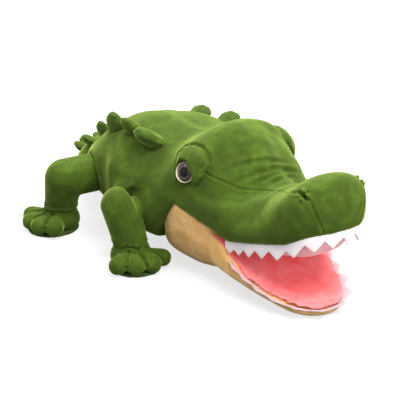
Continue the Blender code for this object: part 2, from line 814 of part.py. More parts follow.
def make_palate(root):
    first, last = (share * HEAD_LENGTH for share in PALATE_SPAN_SHARES)
    rings = []
    for x in stations(first, last, JAW_STEPS):
        seam = mouth_line(x) - SEAM_GAP
        depth = smooth_row(PALATE_SHARES, (x - first) / (last - first))[1] * PALATE_DEPTH
        half = lip_half_width(x + PALATE_INSET) - PALATE_INSET
        rings.append(across_at(x, Section(half, seam + depth, seam - depth, PAD_FULLNESS).below(seam)))
    lofted("palate", rings, root, PALE_PINK_PLUSH)


def tooth_sizes(count):
    """Teeth grow from each corner of the mouth to its front."""
    steps = [min(i, count - 1 - i) for i in range(count)]
    return [min(1, TOOTH_START_SHARE + TOOTH_GROWTH_SHARE * step) for step in steps]


def tooth_edge(half_width_at, first, last, count):
    """Valleys and tips along a lip, from one corner of the mouth round to the other.

    Each is (point, outward, size): a point of the outline on the floor plane, the direction out of
    the mouth there, and how large the tooth is.
    """
    xs = stations(first, last, OUTLINE_STEPS, crowding=HEAD_CROWDING)
    right = [Vector((x, -half_width_at(x))) for x in xs]
    outline = right + [Vector((last, 0))] + [Vector((p.x, -p.y)) for p in reversed(right)]
    runs = [0]
    for start, end in zip(outline, outline[1:]):
        runs.append(runs[-1] + (end - start).length)
    sizes = tooth_sizes(count)
    halves = [size for size in sizes for _ in range(2)]
    marks = [sum(halves[:k]) / sum(halves) * runs[-1] for k in range(len(halves) + 1)]
    edge = []
    for k, mark in enumerate(marks):
        i = max(j for j in range(len(runs) - 1) if runs[j] <= mark)
        i = min(i, len(runs) - 2)
        start, end = outline[i], outline[i + 1]
        heading = (outline[min(i + 2, len(outline) - 1)] - outline[max(i - 1, 0)]).normalized()
        point = start.lerp(end, (mark - runs[i]) / (runs[i + 1] - runs[i]))
        edge.append((point, Vector((heading.y, -heading.x)), sizes[min(k // 2, count - 1)]))
    return edge


def make_upper_teeth(root):
    """A zigzag felt strip that hangs from the lip."""
    rings = []
    first = MOUTH_CORNER_X + UPPER_TEETH_START
    edge = tooth_edge(lip_half_width, first, HEAD_LENGTH, UPPER_TEETH)
    for k, (point, outward, size) in enumerate(edge):
        outer = point - outward * UPPER_TEETH_INSET
        inner = outer - outward * FELT_THICKNESS
        height = size**TOOTH_HEIGHT_POWER
        reach = UPPER_TOOTH_DEPTH * height if k % 2 else UPPER_TOOTH_ROOT / height
        corners = ((outer, 0), (inner, 0), (inner, reach), (outer, reach))
        rings.append([Vector((p.x, p.y, mouth_line(p.x) - SEAM_GAP - drop)) for p, drop in corners])
    lofted("upper_teeth", rings, root, WHITE_FELT)


def make_lower_teeth(hinge):
    """A zigzag felt strip that lies on the rim of the jaw and splays outwards."""
    lift = math.radians(LOWER_TEETH_LIFT_DEG)
    first = HINGE_X + LOWER_TEETH_START_SHARE * JAW_LENGTH
    rings = []
    edge = tooth_edge(lambda x: jaw_section(x).half_width, first, HINGE_X + JAW_LENGTH, LOWER_TEETH)
    for k, (point, outward, size) in enumerate(edge):
        inner = point - outward * LOWER_TEETH_INSET
        bed = jaw_section(inner.x).top_at(inner.y) + SEAM_GAP
        base = Vector((inner.x, inner.y, bed))
        out = Vector((outward.x * math.cos(lift), outward.y * math.cos(lift), math.sin(lift)))
        face = Vector((-outward.x * math.sin(lift), -outward.y * math.sin(lift), math.cos(lift)))
        run = out * (LOWER_TOOTH_DEPTH if k % 2 else LOWER_TOOTH_ROOT) * size
        thickness = face * FELT_THICKNESS
        rings.append([base, base + thickness, base + thickness + run, base + run])
    lofted("lower_teeth", rings, hinge, WHITE_FELT)


# Legs and feet


def make_leg(name, leg, sign, hip):
    """A stuffed stump with a domed top, and the round root that joins it to the flank."""
    knee = Vector((leg.hip_x, sign * leg.knee_reach, leg.hip_z))
    ankle = Vector((leg.ankle_x, sign * leg.ankle_reach, ANKLE_HEIGHT))
    levels = []
    for down in stations(1, 0, SHANK_STEPS):
        levels.append((knee.lerp(ankle, down), LEG_RADIUS + (ANKLE_RADIUS - LEG_RADIUS) * down))
    for row in range(1, DOME_STEPS + 1):
        turn = math.pi / 2 * row / (DOME_STEPS + 1)
        levels.append((knee + Vector((0, 0, LEG_RADIUS * math.sin(turn))), LEG_RADIUS * math.cos(turn)))
    rings = [[centre + Vector((u, v, 0)) for u, v in circle(radius)] for centre, radius in levels]
    stump = lofted(name, rings, hip, GREEN_PLUSH)
    inner = knee.copy()
    inner.y = sign * (leg.seat + JOINT_GAP)
    join(stump, bar(f"{name}_root", inner, knee, leg.root_radius, hip))


def circle(radius, sides=BAR_SIDES):
    return Section(radius, radius, -radius, ROUND).whole(sides)


def toe(name, heading, carrier):
    """A stuffed finger from the middle of the foot, with a round end."""
    height = SOLE_THICKNESS + TOE_RADIUS * TOE_SEAT_SHARE
    out = Vector((math.cos(heading), math.sin(heading), 0))
    aside = Vector((-out.y, out.x, 0))
    places = [(0, TOE_RADIUS * TOE_ROOT_SHARE), (TOE_REACH, TOE_RADIUS)]
    for row in range(1, TOE_ROWS):
        turn = math.pi / 2 * row / TOE_ROWS
        places.append((TOE_REACH + TOE_RADIUS * math.sin(turn), TOE_RADIUS * math.cos(turn)))
    rings = []
    for run, radius in places:
        centre = out * run + Vector((0, 0, height))
        rings.append([centre + aside * u + Vector((0, 0, v)) for u, v in circle(radius, TOE_SIDES)])
    return lofted(name, rings, carrier)


def foot_mesh(root):
    """The foot's mesh, heading along +X from the ankle, flat under and on top."""
    pad_centre = (0, 0, FOOT_PAD_HALF_HEIGHT * FOOT_PAD_SEAT_SHARE)
    radii = (FOOT_PAD_RADIUS, FOOT_PAD_RADIUS, FOOT_PAD_HALF_HEIGHT)
    foot = ball("foot_form", pad_centre, radii, root)
    for number in range(TOE_COUNT):
        heading = math.radians((number - (TOE_COUNT - 1) / 2) * TOE_SPREAD_DEG)
        join(foot, toe(f"toe_form_{number + 1}", heading, root))
    reach = TOE_REACH + FOOT_PAD_RADIUS
    bottom, top = SOLE_THICKNESS + SEAM_GAP, ANKLE_HEIGHT - SEAM_GAP
    cut(foot, block("foot_sole_cutter", (-reach, -reach, -reach), (reach, reach, bottom), root))
    cut(foot, block("foot_top_cutter", (-reach, -reach, top), (reach, reach, top + reach), root))
    bpy.context.view_layer.update()
    graph = bpy.context.evaluated_depsgraph_get()
    return bpy.data.meshes.new_from_object(foot.evaluated_get(graph))


def sole_mesh():
    """A flat plate under the foot, narrow at the heel and wide under the toes."""
    mesh = bmesh.new()
    rim = []
    for k in range(SOLE_SIDES):
        turn = 2 * math.pi * k / SOLE_SIDES
        radius = SOLE_HEEL + (SOLE_REACH - SOLE_HEEL) * ((1 + math.cos(turn)) / 2) ** 2
        rim.append(mesh.verts.new((radius * math.cos(turn), radius * math.sin(turn), 0)))
    under = mesh.faces.new(rim)
    raised = bmesh.ops.extrude_face_region(mesh, geom=[under])["geom"]
    upper = [item for item in raised if isinstance(item, bmesh.types.BMVert)]
    bmesh.ops.translate(mesh, vec=(0, 0, SOLE_THICKNESS), verts=upper)
    bmesh.ops.recalc_face_normals(mesh, faces=mesh.faces)
    data = bpy.data.meshes.new("sole")
    mesh.to_mesh(data)
    mesh.free()
    return data


def make_legs(root):
    foot_form, sole_form = foot_mesh(root), sole_mesh()
    for end, leg in LEGS.items():
        for side, sign in SIDES:
            hip = empty(f"{end}_{side}_hip", (leg.hip_x, sign * leg.seat, leg.hip_z), root)
            make_leg(f"{end}_{side}_leg", leg, sign, hip)
            ankle = Vector((leg.ankle_x, sign * leg.ankle_reach, 0))
            forms = ("foot", foot_form, GREEN_PLUSH), ("sole", sole_form, DARK_GREEN_PLUSH)
            for part, form, colour in forms:
                item = place(f"{end}_{side}_{part}", form.copy(), hip, colour)
                item.location = ankle - hip.location
                item.rotation_euler.z = sign * math.radians(leg.foot_turn)


# Tail


def tail_root(name, carrier, grow=0):
    """The ball that the tail turns on, a surface turned about the tail's own axis."""
    radii = (TAIL_ROOT_RADIUS + grow, TAIL_ROOT_RADIUS + grow, TAIL_ROOT_HALF_HEIGHT + grow)
    return ball(name, (TAIL_ROOT_X, 0, TAIL_ROOT_Z), radii, carrier, TAIL_ROOT_SIDES)


def tail_ring(share, points):
    middle, _, across = tail_frame(share)
    return [middle + across * sideways + Vector((0, 0, up)) for sideways, up in points]


def tail_rings(grow=0):
    """Whole rings from the root, then rings that stop at the seam of the panel underneath."""
    rings = []
    step_share = SEAM_GAP / TAIL_LENGTH
    for share in stations(0, 1, TAIL_STEPS, (TAIL_PANEL_START_SHARE,), TAIL_CROWDING):
        section = tail_section(share, grow)
        if share <= TAIL_PANEL_START_SHARE:
            rings.append(tail_ring(share, section.whole()))
        if share == TAIL_PANEL_START_SHARE:
            rings.append(tail_ring(share + step_share, section.above(panel_seam(share))))
        if share > TAIL_PANEL_START_SHARE:
            rings.append(tail_ring(share, section.above(panel_seam(share))))
    return rings


def panel_seam(share):
    section = tail_section(share)
    return section.middle + TAIL_PANEL_SEAM_SHARE * section.half_height


def make_tail(swing):
    tail = lofted("tail", tail_rings(), swing, GREEN_PLUSH)
    join(tail, tail_root("tail_root_ball", swing))
    rings = []
    for share in stations(0, 1, TAIL_STEPS, (TAIL_PANEL_START_SHARE,), TAIL_CROWDING):
        if share >= TAIL_PANEL_START_SHARE:
            begins = share == TAIL_PANEL_START_SHARE
            shifted = share + 2 * SEAM_GAP / TAIL_LENGTH if begins else share
            ring = tail_section(share).below(panel_seam(share) - SEAM_GAP)
            rings.append(tail_ring(shifted, ring))
    lofted("tail_underside", rings, swing, TAN_PLUSH)
    make_tail_spines(swing)


def make_tail_spines(swing):
    form = lofted("tail_form_cutter", tail_rings(SEAM_GAP), swing)
    root_form = tail_root("tail_root_cutter", swing, SEAM_GAP)
    for side, sign in SIDES:
        for number, (share, size) in enumerate(TAIL_SPINE_SHARES, 1):
            section = tail_section(share)
            sideways = sign * TAIL_ROW_SHARE * section.half_width
            middle, heading, across = tail_frame(share)
            base = middle + across * sideways + Vector((0, 0, section.top_at(sideways)))
            out, rise = leaning(section.slant_at(sideways), TAIL_SPINE_LEAN_DEG)
            up = across * out + Vector((0, 0, rise))
            spine = make_spine(f"tail_spine_{side}_{number}", base, up, heading, size, swing)
            cut(spine, form)
            if number == 1:
                cut(spine, root_form)


# The whole toy


def centre_on_floor(root):
    """Moves the toy so that the middle of its outline on the floor is the origin."""
    bpy.context.view_layer.update()
    graph = bpy.context.evaluated_depsgraph_get()
    points = []
    for item in bpy.data.objects:
        if item.type == "MESH" and not item.hide_render:
            evaluated = item.evaluated_get(graph)
            points += [evaluated.matrix_world @ vertex.co for vertex in evaluated.data.vertices]
    low = Vector(min(point[axis] for point in points) for axis in range(3))
    high = Vector(max(point[axis] for point in points) for axis in range(3))
    middle = (low + high) / 2
    root.location = (-middle.x, -middle.y, -low.z)
    bpy.context.view_layer.update()
    for item in bpy.data.objects:
        if item.type == "EMPTY":
            print(item.name, [round(value, 5) for value in item.matrix_world.translation])


def main():
    clear_scene()
    root = empty("crocodile")
    make_trunk(root)
    make_back_spines(root)
    make_head(root)
    make_palate(root)
    make_upper_teeth(root)
    make_jaw(empty("jaw_hinge", (HINGE_X, 0, HINGE_Z), root))
    make_legs(root)
    make_tail(empty("tail_sway", (TAIL_ROOT_X, 0, TAIL_ROOT_Z), root))
    centre_on_floor(root)


main()
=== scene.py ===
"""The looks of a stuffed plush crocodile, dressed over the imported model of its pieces.

Each stuffed skin starts from the solids of the pieces that one cut of cloth covers. They are grown
until they meet, drawn into one closed skin, relaxed the way filled cloth relaxes, and then pressed in
along the seams, folds and tucks that the toy shows. Seams that the photograph shows are named by
their pixels in its 400 x 400 frame and thrown onto the skin from the camera, so they land on the toy
whatever its size. Lengths are in metres unless a name says mm or px.
"""

import json
import logging
import math
from dataclasses import dataclass, field, replace
from enum import Enum
from typing import Any, Iterable, Sequence

import bmesh
import bpy
import numpy as np
from mathutils import Matrix, Vector, noise
from mathutils.bvhtree import BVHTree

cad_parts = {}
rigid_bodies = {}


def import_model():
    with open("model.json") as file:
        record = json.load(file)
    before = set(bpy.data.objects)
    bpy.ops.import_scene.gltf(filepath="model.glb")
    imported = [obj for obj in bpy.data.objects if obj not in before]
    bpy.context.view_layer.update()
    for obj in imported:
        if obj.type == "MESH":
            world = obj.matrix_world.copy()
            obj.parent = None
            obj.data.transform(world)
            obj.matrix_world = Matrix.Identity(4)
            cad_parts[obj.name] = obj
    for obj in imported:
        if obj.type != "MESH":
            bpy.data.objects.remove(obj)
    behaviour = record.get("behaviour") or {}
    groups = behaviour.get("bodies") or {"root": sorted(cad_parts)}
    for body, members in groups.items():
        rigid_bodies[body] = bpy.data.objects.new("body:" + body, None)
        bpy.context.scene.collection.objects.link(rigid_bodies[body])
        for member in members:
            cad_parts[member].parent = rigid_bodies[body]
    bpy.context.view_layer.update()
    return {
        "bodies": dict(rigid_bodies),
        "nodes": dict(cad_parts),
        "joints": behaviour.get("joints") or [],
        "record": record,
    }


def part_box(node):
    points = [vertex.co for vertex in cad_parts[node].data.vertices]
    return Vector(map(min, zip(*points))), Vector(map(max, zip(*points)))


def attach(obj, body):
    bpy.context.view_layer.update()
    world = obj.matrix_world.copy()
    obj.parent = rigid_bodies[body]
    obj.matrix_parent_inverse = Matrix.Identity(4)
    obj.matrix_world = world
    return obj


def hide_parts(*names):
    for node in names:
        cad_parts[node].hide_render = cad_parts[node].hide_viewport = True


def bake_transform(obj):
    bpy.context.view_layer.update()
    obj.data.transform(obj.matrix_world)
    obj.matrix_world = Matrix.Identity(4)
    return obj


log = logging.getLogger("crocodile")

MM = 0.001
IMAGE_PX = 400
SENSOR_MM = 36.0
WELD = 0.00001
TOY_ORIGIN = np.array((0.0577507, -0.0003333, 0.0))
NOISE_SEED = 1

Pixel = tuple[float, float]
Route = Sequence[Vector]


class Side(Enum):
    """The toy's own right and left, with the sign of Y there."""

    RIGHT = -1
    LEFT = 1

    @property
    def word(self) -> str:
        """The side's name as it stands in the names of pieces."""
        return self.name.lower()


class Mark(Enum):
    """How a line pressed into a skin ends: a seam keeps its depth, and a fold fades out."""

    SEAM = "seam"
    FOLD = "fold"


# Camera


@dataclass(frozen=True)
class Viewpoint:
    """Where the photograph was taken from, as a pinhole camera on a square frame."""

    azimuth_deg: float = 56.0
    elevation_deg: float = 21.5
    distance: float = 1.8
    focal_px: float = 1409.6
    target: tuple[float, float, float] = (0.0357, -0.0003, 0.0570)

    def axes(self) -> tuple[Vector, Vector, Vector]:
        """The camera's own directions.

        Returns:
            Unit vectors to its right, up and backwards.
        """
        turn, lift = math.radians(self.azimuth_deg), math.radians(self.elevation_deg)
        right = Vector((math.cos(turn), math.sin(turn), 0))
        back = Vector((math.sin(turn) * math.cos(lift), -math.cos(turn) * math.cos(lift), math.sin(lift)))
        return right, back.cross(right), back

    def place(self) -> Vector:
        """Where the lens is."""
        return Vector(self.target) + self.axes()[2] * self.distance

    def ray(self, pixel: Pixel) -> Vector:
        """The direction in which a pixel of the photograph looks.

        Args:
            pixel: Column and row in the 400 x 400 frame, from its upper left corner.

        Returns:
            A unit vector in the toy's frame.
        """
        right, up, back = self.axes()
        across = (pixel[0] - IMAGE_PX / 2) / self.focal_px
        down = (pixel[1] - IMAGE_PX / 2) / self.focal_px
        return (right * across - up * down - back).normalized()

    def pixel(self, point: Vector) -> Pixel:
        """Where a point of the toy lands in the photograph's frame.

        Args:
            point: A point in the toy's frame.

        Returns:
            Column and row.
        """
        right, up, back = self.axes()
        offset = point - self.place()
        scale = self.focal_px / -offset.dot(back)
        return IMAGE_PX / 2 + offset.dot(right) * scale, IMAGE_PX / 2 - offset.dot(up) * scale

    def make_camera(self) -> bpy.types.Object:
        """Adds the camera and makes it the scene's own.

        Returns:
            The camera object.
        """
        right, up, back = self.axes()
        data = bpy.data.cameras.new("camera")
        data.sensor_width = SENSOR_MM
        data.lens = self.focal_px / IMAGE_PX * SENSOR_MM
        data.clip_start = 0.05
        camera = bpy.data.objects.new("camera", data)
        turn = Matrix((right, up, back)).transposed().to_4x4()
        camera.matrix_world = Matrix.Translation(self.place()) @ turn
        bpy.context.collection.objects.link(camera)
        bpy.context.scene.camera = camera
        return camera


VIEW = Viewpoint()


# Materials


def linear(code: str, alpha: float = 1.0) -> tuple[float, float, float, float]:
    """Turns an sRGB hex colour to the linear one that shaders take.

    Args:
        code: Six hex digits after a number sign.
        alpha: Opacity of the colour.

    Returns:
        Red, green, blue and alpha.
    """
    shares = [int(code[k : k + 2], 16) / 255 for k in (1, 3, 5)]
    turned = [s / 12.92 if s <= 0.04045 else ((s + 0.055) / 1.055) ** 2.4 for s in shares]
    return (*turned, alpha)


def add_node(
    tree: bpy.types.NodeTree,
    kind: str,
    settings: dict[str, Any] | None = None,
    sockets: dict[str | int, Any] | None = None,
) -> bpy.types.Node:
    """Adds a shader node with its settings, socket values and links.

    Args:
        tree: The node tree that gets the node.
        kind: The node's type name without its ShaderNode prefix.
        settings: Attributes of the node itself.
        sockets: For each input, a value or the output socket that feeds it.

    Returns:
        The new node.
    """
    made = tree.nodes.new("ShaderNode" + kind)
    for name, value in (settings or {}).items():
        setattr(made, name, value)
    for key, value in (sockets or {}).items():
        if isinstance(value, bpy.types.NodeSocket):
            tree.links.new(value, made.inputs[key])
        else:
            made.inputs[key].default_value = value
    return made


def ramp(node: bpy.types.Node, stops: Sequence[tuple[float, Sequence[float]]]) -> bpy.types.NodeSocket:
    """Sets the stops of a colour ramp.

    Args:
        node: A ValToRGB node.
        stops: Place and linear colour of each stop, in order.

    Returns:
        The node's colour output.
    """
    scale = node.color_ramp
    while len(scale.elements) < len(stops):
        scale.elements.new(1.0)
    for element, (place, colour) in zip(scale.elements, stops):
        element.position = place
        element.color = colour
    return node.outputs["Color"]


def per_metre(size_mm: float) -> float:
    """The noise scale whose patches are about that many millimetres across."""
    return 1 / (size_mm * MM)


def new_material(name: str) -> tuple[bpy.types.Material, bpy.types.NodeTree, bpy.types.NodeSocket]:
    """An empty node material.

    Args:
        name: The material's name.

    Returns:
        The material, its tree and the surface socket of its output.
    """
    made = bpy.data.materials.new(name)
    made.use_nodes = True
    made.node_tree.nodes.clear()
    output = add_node(made.node_tree, "OutputMaterial")
    return made, made.node_tree, output.inputs["Surface"]


@dataclass(frozen=True)
class PlushFinish:
    """Minky plush: a knitted polyester backing with 2 mm pile, sheared and then crushed in filling.

    The pile leans in patches a few centimetres wide, which is what gives the eye lighter and darker
    clouds on one dye. Its tips scatter light at the rim, so every edge has a soft pale glow.
    """

    name: str
    slot: str
    shade: str
    dye: str
    bloom: str
    sheen_tint: str
    sheen: float = 0.35
    cloud_mm: float = 34.0
    crush_mm: float = 9.0
    fibre_mm: float = 1.5
    crush_share: float = 0.28
    stops: tuple[float, float, float] = (0.36, 0.52, 0.68)
    speck: tuple[float, float] = (0.84, 1.16)
    crush_depth_mm: float = 0.45
    pile_depth_mm: float = 0.5

    def material(self) -> bpy.types.Material:
        """Builds the cloth.

        Returns:
            The material.
        """
        made, tree, surface = new_material(self.name)
        place = add_node(tree, "TexCoord").outputs["Object"]
        patches = ((self.cloud_mm, 3.0, 0.9), (self.crush_mm, 2.0, 0.4), (self.fibre_mm, 2.0, 0.0))
        clouds, crush, fibres = (
            add_node(
                tree,
                "TexNoise",
                sockets={"Vector": place, "Scale": per_metre(size), "Detail": detail, "Distortion": twist},
            ).outputs["Fac"]
            for size, detail, twist in patches
        )
        blended = add_node(tree, "Mix", {"data_type": "FLOAT"}, {0: self.crush_share, 2: clouds, 3: crush})
        dyes = (linear(code) for code in (self.shade, self.dye, self.bloom))
        nap = ramp(
            add_node(tree, "ValToRGB", sockets={"Fac": blended.outputs[0]}), list(zip(self.stops, dyes))
        )
        low, high = self.speck
        speck = add_node(tree, "MapRange", sockets={"Value": fibres, "To Min": low, "To Max": high})
        tinted = add_node(
            tree,
            "Mix",
            {"data_type": "RGBA", "blend_type": "MULTIPLY"},
            {0: 1.0, 6: nap, 7: speck.outputs["Result"]},
        )
        soft = add_node(
            tree, "Bump", sockets={"Strength": 0.5, "Distance": self.crush_depth_mm * MM, "Height": crush}
        )
        pile = add_node(
            tree,
            "Bump",
            sockets={
                "Strength": 0.45,
                "Distance": self.pile_depth_mm * MM,
                "Height": fibres,
                "Normal": soft.outputs["Normal"],
            },
        )
        cloth = add_node(
            tree,
            "BsdfPrincipled",
            sockets={
                "Base Color": tinted.outputs[2],
                "Roughness": 0.92,
                "IOR": 1.45,
                "Specular IOR Level": 0.18,
                "Sheen Weight": self.sheen,
                "Sheen Roughness": 0.34,
                "Sheen Tint": linear(self.sheen_tint),
                "Normal": pile.outputs["Normal"],
            },
        )
        tree.links.new(cloth.outputs["BSDF"], surface)
        return made


@dataclass(frozen=True)
class FeltFinish:
    """Pressed polyester felt, cut with a blade: flat, matt and slightly hairy, with no grain.

    The lower teeth's copy of this felt is painted darker and pinker than the white: painted shade, and a
    painted reflection of the pink lining.
    """

    name: str
    slot: str
    dye: str
    shade: str
    fibre_mm: float = 1.2
    depth_mm: float = 0.35

    def material(self) -> bpy.types.Material:
        """Builds the felt.

        Returns:
            The material.
        """
        made, tree, surface = new_material(self.name)
        place = add_node(tree, "TexCoord").outputs["Object"]
        hairs = add_node(
            tree,
            "TexNoise",
            sockets={"Vector": place, "Scale": per_metre(self.fibre_mm), "Detail": 4.0, "Distortion": 1.5},
        )
        stops = ((0.3, linear(self.shade)), (0.6, linear(self.dye)))
        colour = ramp(add_node(tree, "ValToRGB", sockets={"Fac": hairs.outputs["Fac"]}), stops)
        bump = add_node(
            tree,
            "Bump",
            sockets={"Strength": 0.4, "Distance": self.depth_mm * MM, "Height": hairs.outputs["Fac"]},
        )
        felt = add_node(
            tree,
            "BsdfPrincipled",
            sockets={
                "Base Color": colour,
                "Roughness": 0.95,
                "IOR": 1.45,
                "Specular IOR Level": 0.15,
                "Sheen Weight": 0.15,
                "Sheen Roughness": 0.5,
                "Normal": bump.outputs["Normal"],
            },
        )
        tree.links.new(felt.outputs["BSDF"], surface)
        return made


@dataclass(frozen=True)
class PlasticFinish:
    """Injection-moulded plastic: even, with a faint orange peel that breaks up its reflections."""

    name: str
    slot: str
    dye: str
    shade: str
    roughness: float
    coat: float = 0.0
    peel_mm: float = 2.5

    def material(self) -> bpy.types.Material:
        """Builds the plastic.

        Returns:
            The material.
        """
        made, tree, surface = new_material(self.name)
        place = add_node(tree, "TexCoord").outputs["Object"]
        peel = add_node(
            tree, "TexNoise", sockets={"Vector": place, "Scale": per_metre(self.peel_mm), "Detail": 2.0}
        )
        stops = ((0.35, linear(self.shade)), (0.65, linear(self.dye)))
        colour = ramp(add_node(tree, "ValToRGB", sockets={"Fac": peel.outputs["Fac"]}), stops)
        bump = add_node(
            tree, "Bump", sockets={"Strength": 0.05, "Distance": 0.1 * MM, "Height": peel.outputs["Fac"]}
        )
        plastic = add_node(
            tree,
            "BsdfPrincipled",
            sockets={
                "Base Color": colour,
                "Roughness": self.roughness,
                "IOR": 1.49,
                "Coat Weight": self.coat,
                "Coat Roughness": 0.03,
                "Normal": bump.outputs["Normal"],
            },
        )
        tree.links.new(plastic.outputs["BSDF"], surface)
        return made


@dataclass(frozen=True)
class IrisFinish:
    """A painted disc under a clear acrylic dome: a black pupil, then a brown iris that darkens
    outwards. The dome over it reflects the lamps sharply, which makes the eye look wet."""

    name: str
    slot: str
    pupil: str
    iris: str
    rim: str
    pupil_share: float = 0.56

    def material(self, centre: Vector, axis: Vector, radius: float) -> bpy.types.Material:
        """Builds the eye's plastic.

        Args:
            centre: The middle of the eye in the toy's frame.
            axis: The unit vector that the eye looks along.
            radius: The eye's radius.

        Returns:
            The material.
        """
        made, tree, surface = new_material(self.name)
        place = add_node(tree, "TexCoord").outputs["Object"]
        centred = add_node(tree, "VectorMath", {"operation": "SUBTRACT"}, {0: place, 1: centre})
        across = add_node(
            tree, "VectorMath", {"operation": "CROSS_PRODUCT"}, {0: centred.outputs["Vector"], 1: axis}
        )
        away = add_node(tree, "VectorMath", {"operation": "LENGTH"}, {0: across.outputs["Vector"]})
        share = add_node(tree, "Math", {"operation": "DIVIDE"}, {0: away.outputs["Value"], 1: radius})
        edge = self.pupil_share
        stops = (
            (edge - 0.03, linear(self.pupil)),
            (edge + 0.03, linear(self.iris)),
            (0.78, linear(self.iris)),
            (0.94, linear(self.rim)),
        )
        colour = ramp(add_node(tree, "ValToRGB", sockets={"Fac": share.outputs["Value"]}), stops)
        dome = add_node(
            tree,
            "BsdfPrincipled",
            sockets={
                "Base Color": colour,
                "Roughness": 0.35,
                "IOR": 1.49,
                "Specular IOR Level": 0.1,
                "Coat Weight": 0.4,
                "Coat Roughness": 0.02,
            },
        )
        tree.links.new(dome.outputs["BSDF"], surface)
        return made


GREEN = PlushFinish(
    "green_crushed_plush", "green_plush", "#354913", "#3d5316", "#4b651e", "#c6e26c", sheen=0.75
)
SOLE_GREEN = PlushFinish(
    "dark_green_pressed_plush", "dark_green_plush", "#30451a", "#3c5421", "#4a642a", "#a8b97a"
)
TAN = PlushFinish("tan_crushed_plush", "tan_plush", "#d8a867", "#e4b87a", "#f0cb93", "#fff0d8")
CORAL = PlushFinish(
    "coral_crushed_plush", "coral_plush", "#ff7073", "#ff8487", "#ff9c9f", "#ffe0e0", sheen=0.25
)
PALE_PINK = PlushFinish(
    "pale_pink_plush", "pale_pink_plush", "#f2a9b0", "#f9bcc2", "#fed0d4", "#fff0f0", sheen=0.2
)
FELT = FeltFinish("white_pressed_felt", "white_felt", "#f6f0f3", "#e9e1e6")
# The lower teeth's white felt, painted darker and pinker: painted shade and a painted reflection of the coral
# lining.
FELT_WITH_PAINTED_SHADE_AND_REFLECTION = FeltFinish("pink_shot_thin_felt", "white_felt", "#d6bac2", "#c6a5af")
EYE = IrisFinish("acrylic_eye", "eye_plastic", "#030303", "#4c4446", "#1c1716")
EYE_RING = PlasticFinish("moulded_cream_plastic", "ring_plastic", "#f2e4cc", "#e6d3b4", 0.35)
WASHER = PlasticFinish("moulded_washer_plastic", "washer_plastic", "#e8e8e6", "#dcdcda", 0.5)


# Skins


def ease(values: np.ndarray, low: float, high: float) -> np.ndarray:
    """Climbs smoothly from 0 at low to 1 at high."""
    share = np.clip((values - low) / (high - low), 0, 1)
    return share * share * (3 - 2 * share)


@dataclass(frozen=True)
class Push:
    """A soft move of one region of the toy, in millimetres from the CAD's own origin.

    The move is whole within half the reach and gone at the reach.
    """

    centre: tuple[float, float, float]
    reach: tuple[float, float, float]
    move: tuple[float, float, float]
    climb: float = 0.0
    both_sides: bool = True

    def moves(self, points: np.ndarray) -> np.ndarray:
        """The move of each point.

        Args:
            points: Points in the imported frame, one row each.

        Returns:
            One move for each point, in metres.
        """
        total = np.zeros_like(points)
        for sign in (1, -1) if self.both_sides else (1,):
            flip = np.array((1, sign, 1))
            offset = (points - TOY_ORIGIN) / MM * flip - self.centre
            offset[:, 2] -= self.climb * offset[:, 0]
            shares = ease(1 - np.abs(offset / self.reach), 0, 0.5)
            total += shares.prod(1)[:, None] * (flip * self.move) * MM
        return total


@dataclass(frozen=True)
class Filling:
    """How unevenly a piece is stuffed.

    The size is about the width of one lump, the height is how far the highest stands out, and the
    seed shifts the pattern from one piece to the next.
    """

    size: float
    height: float
    seed: float


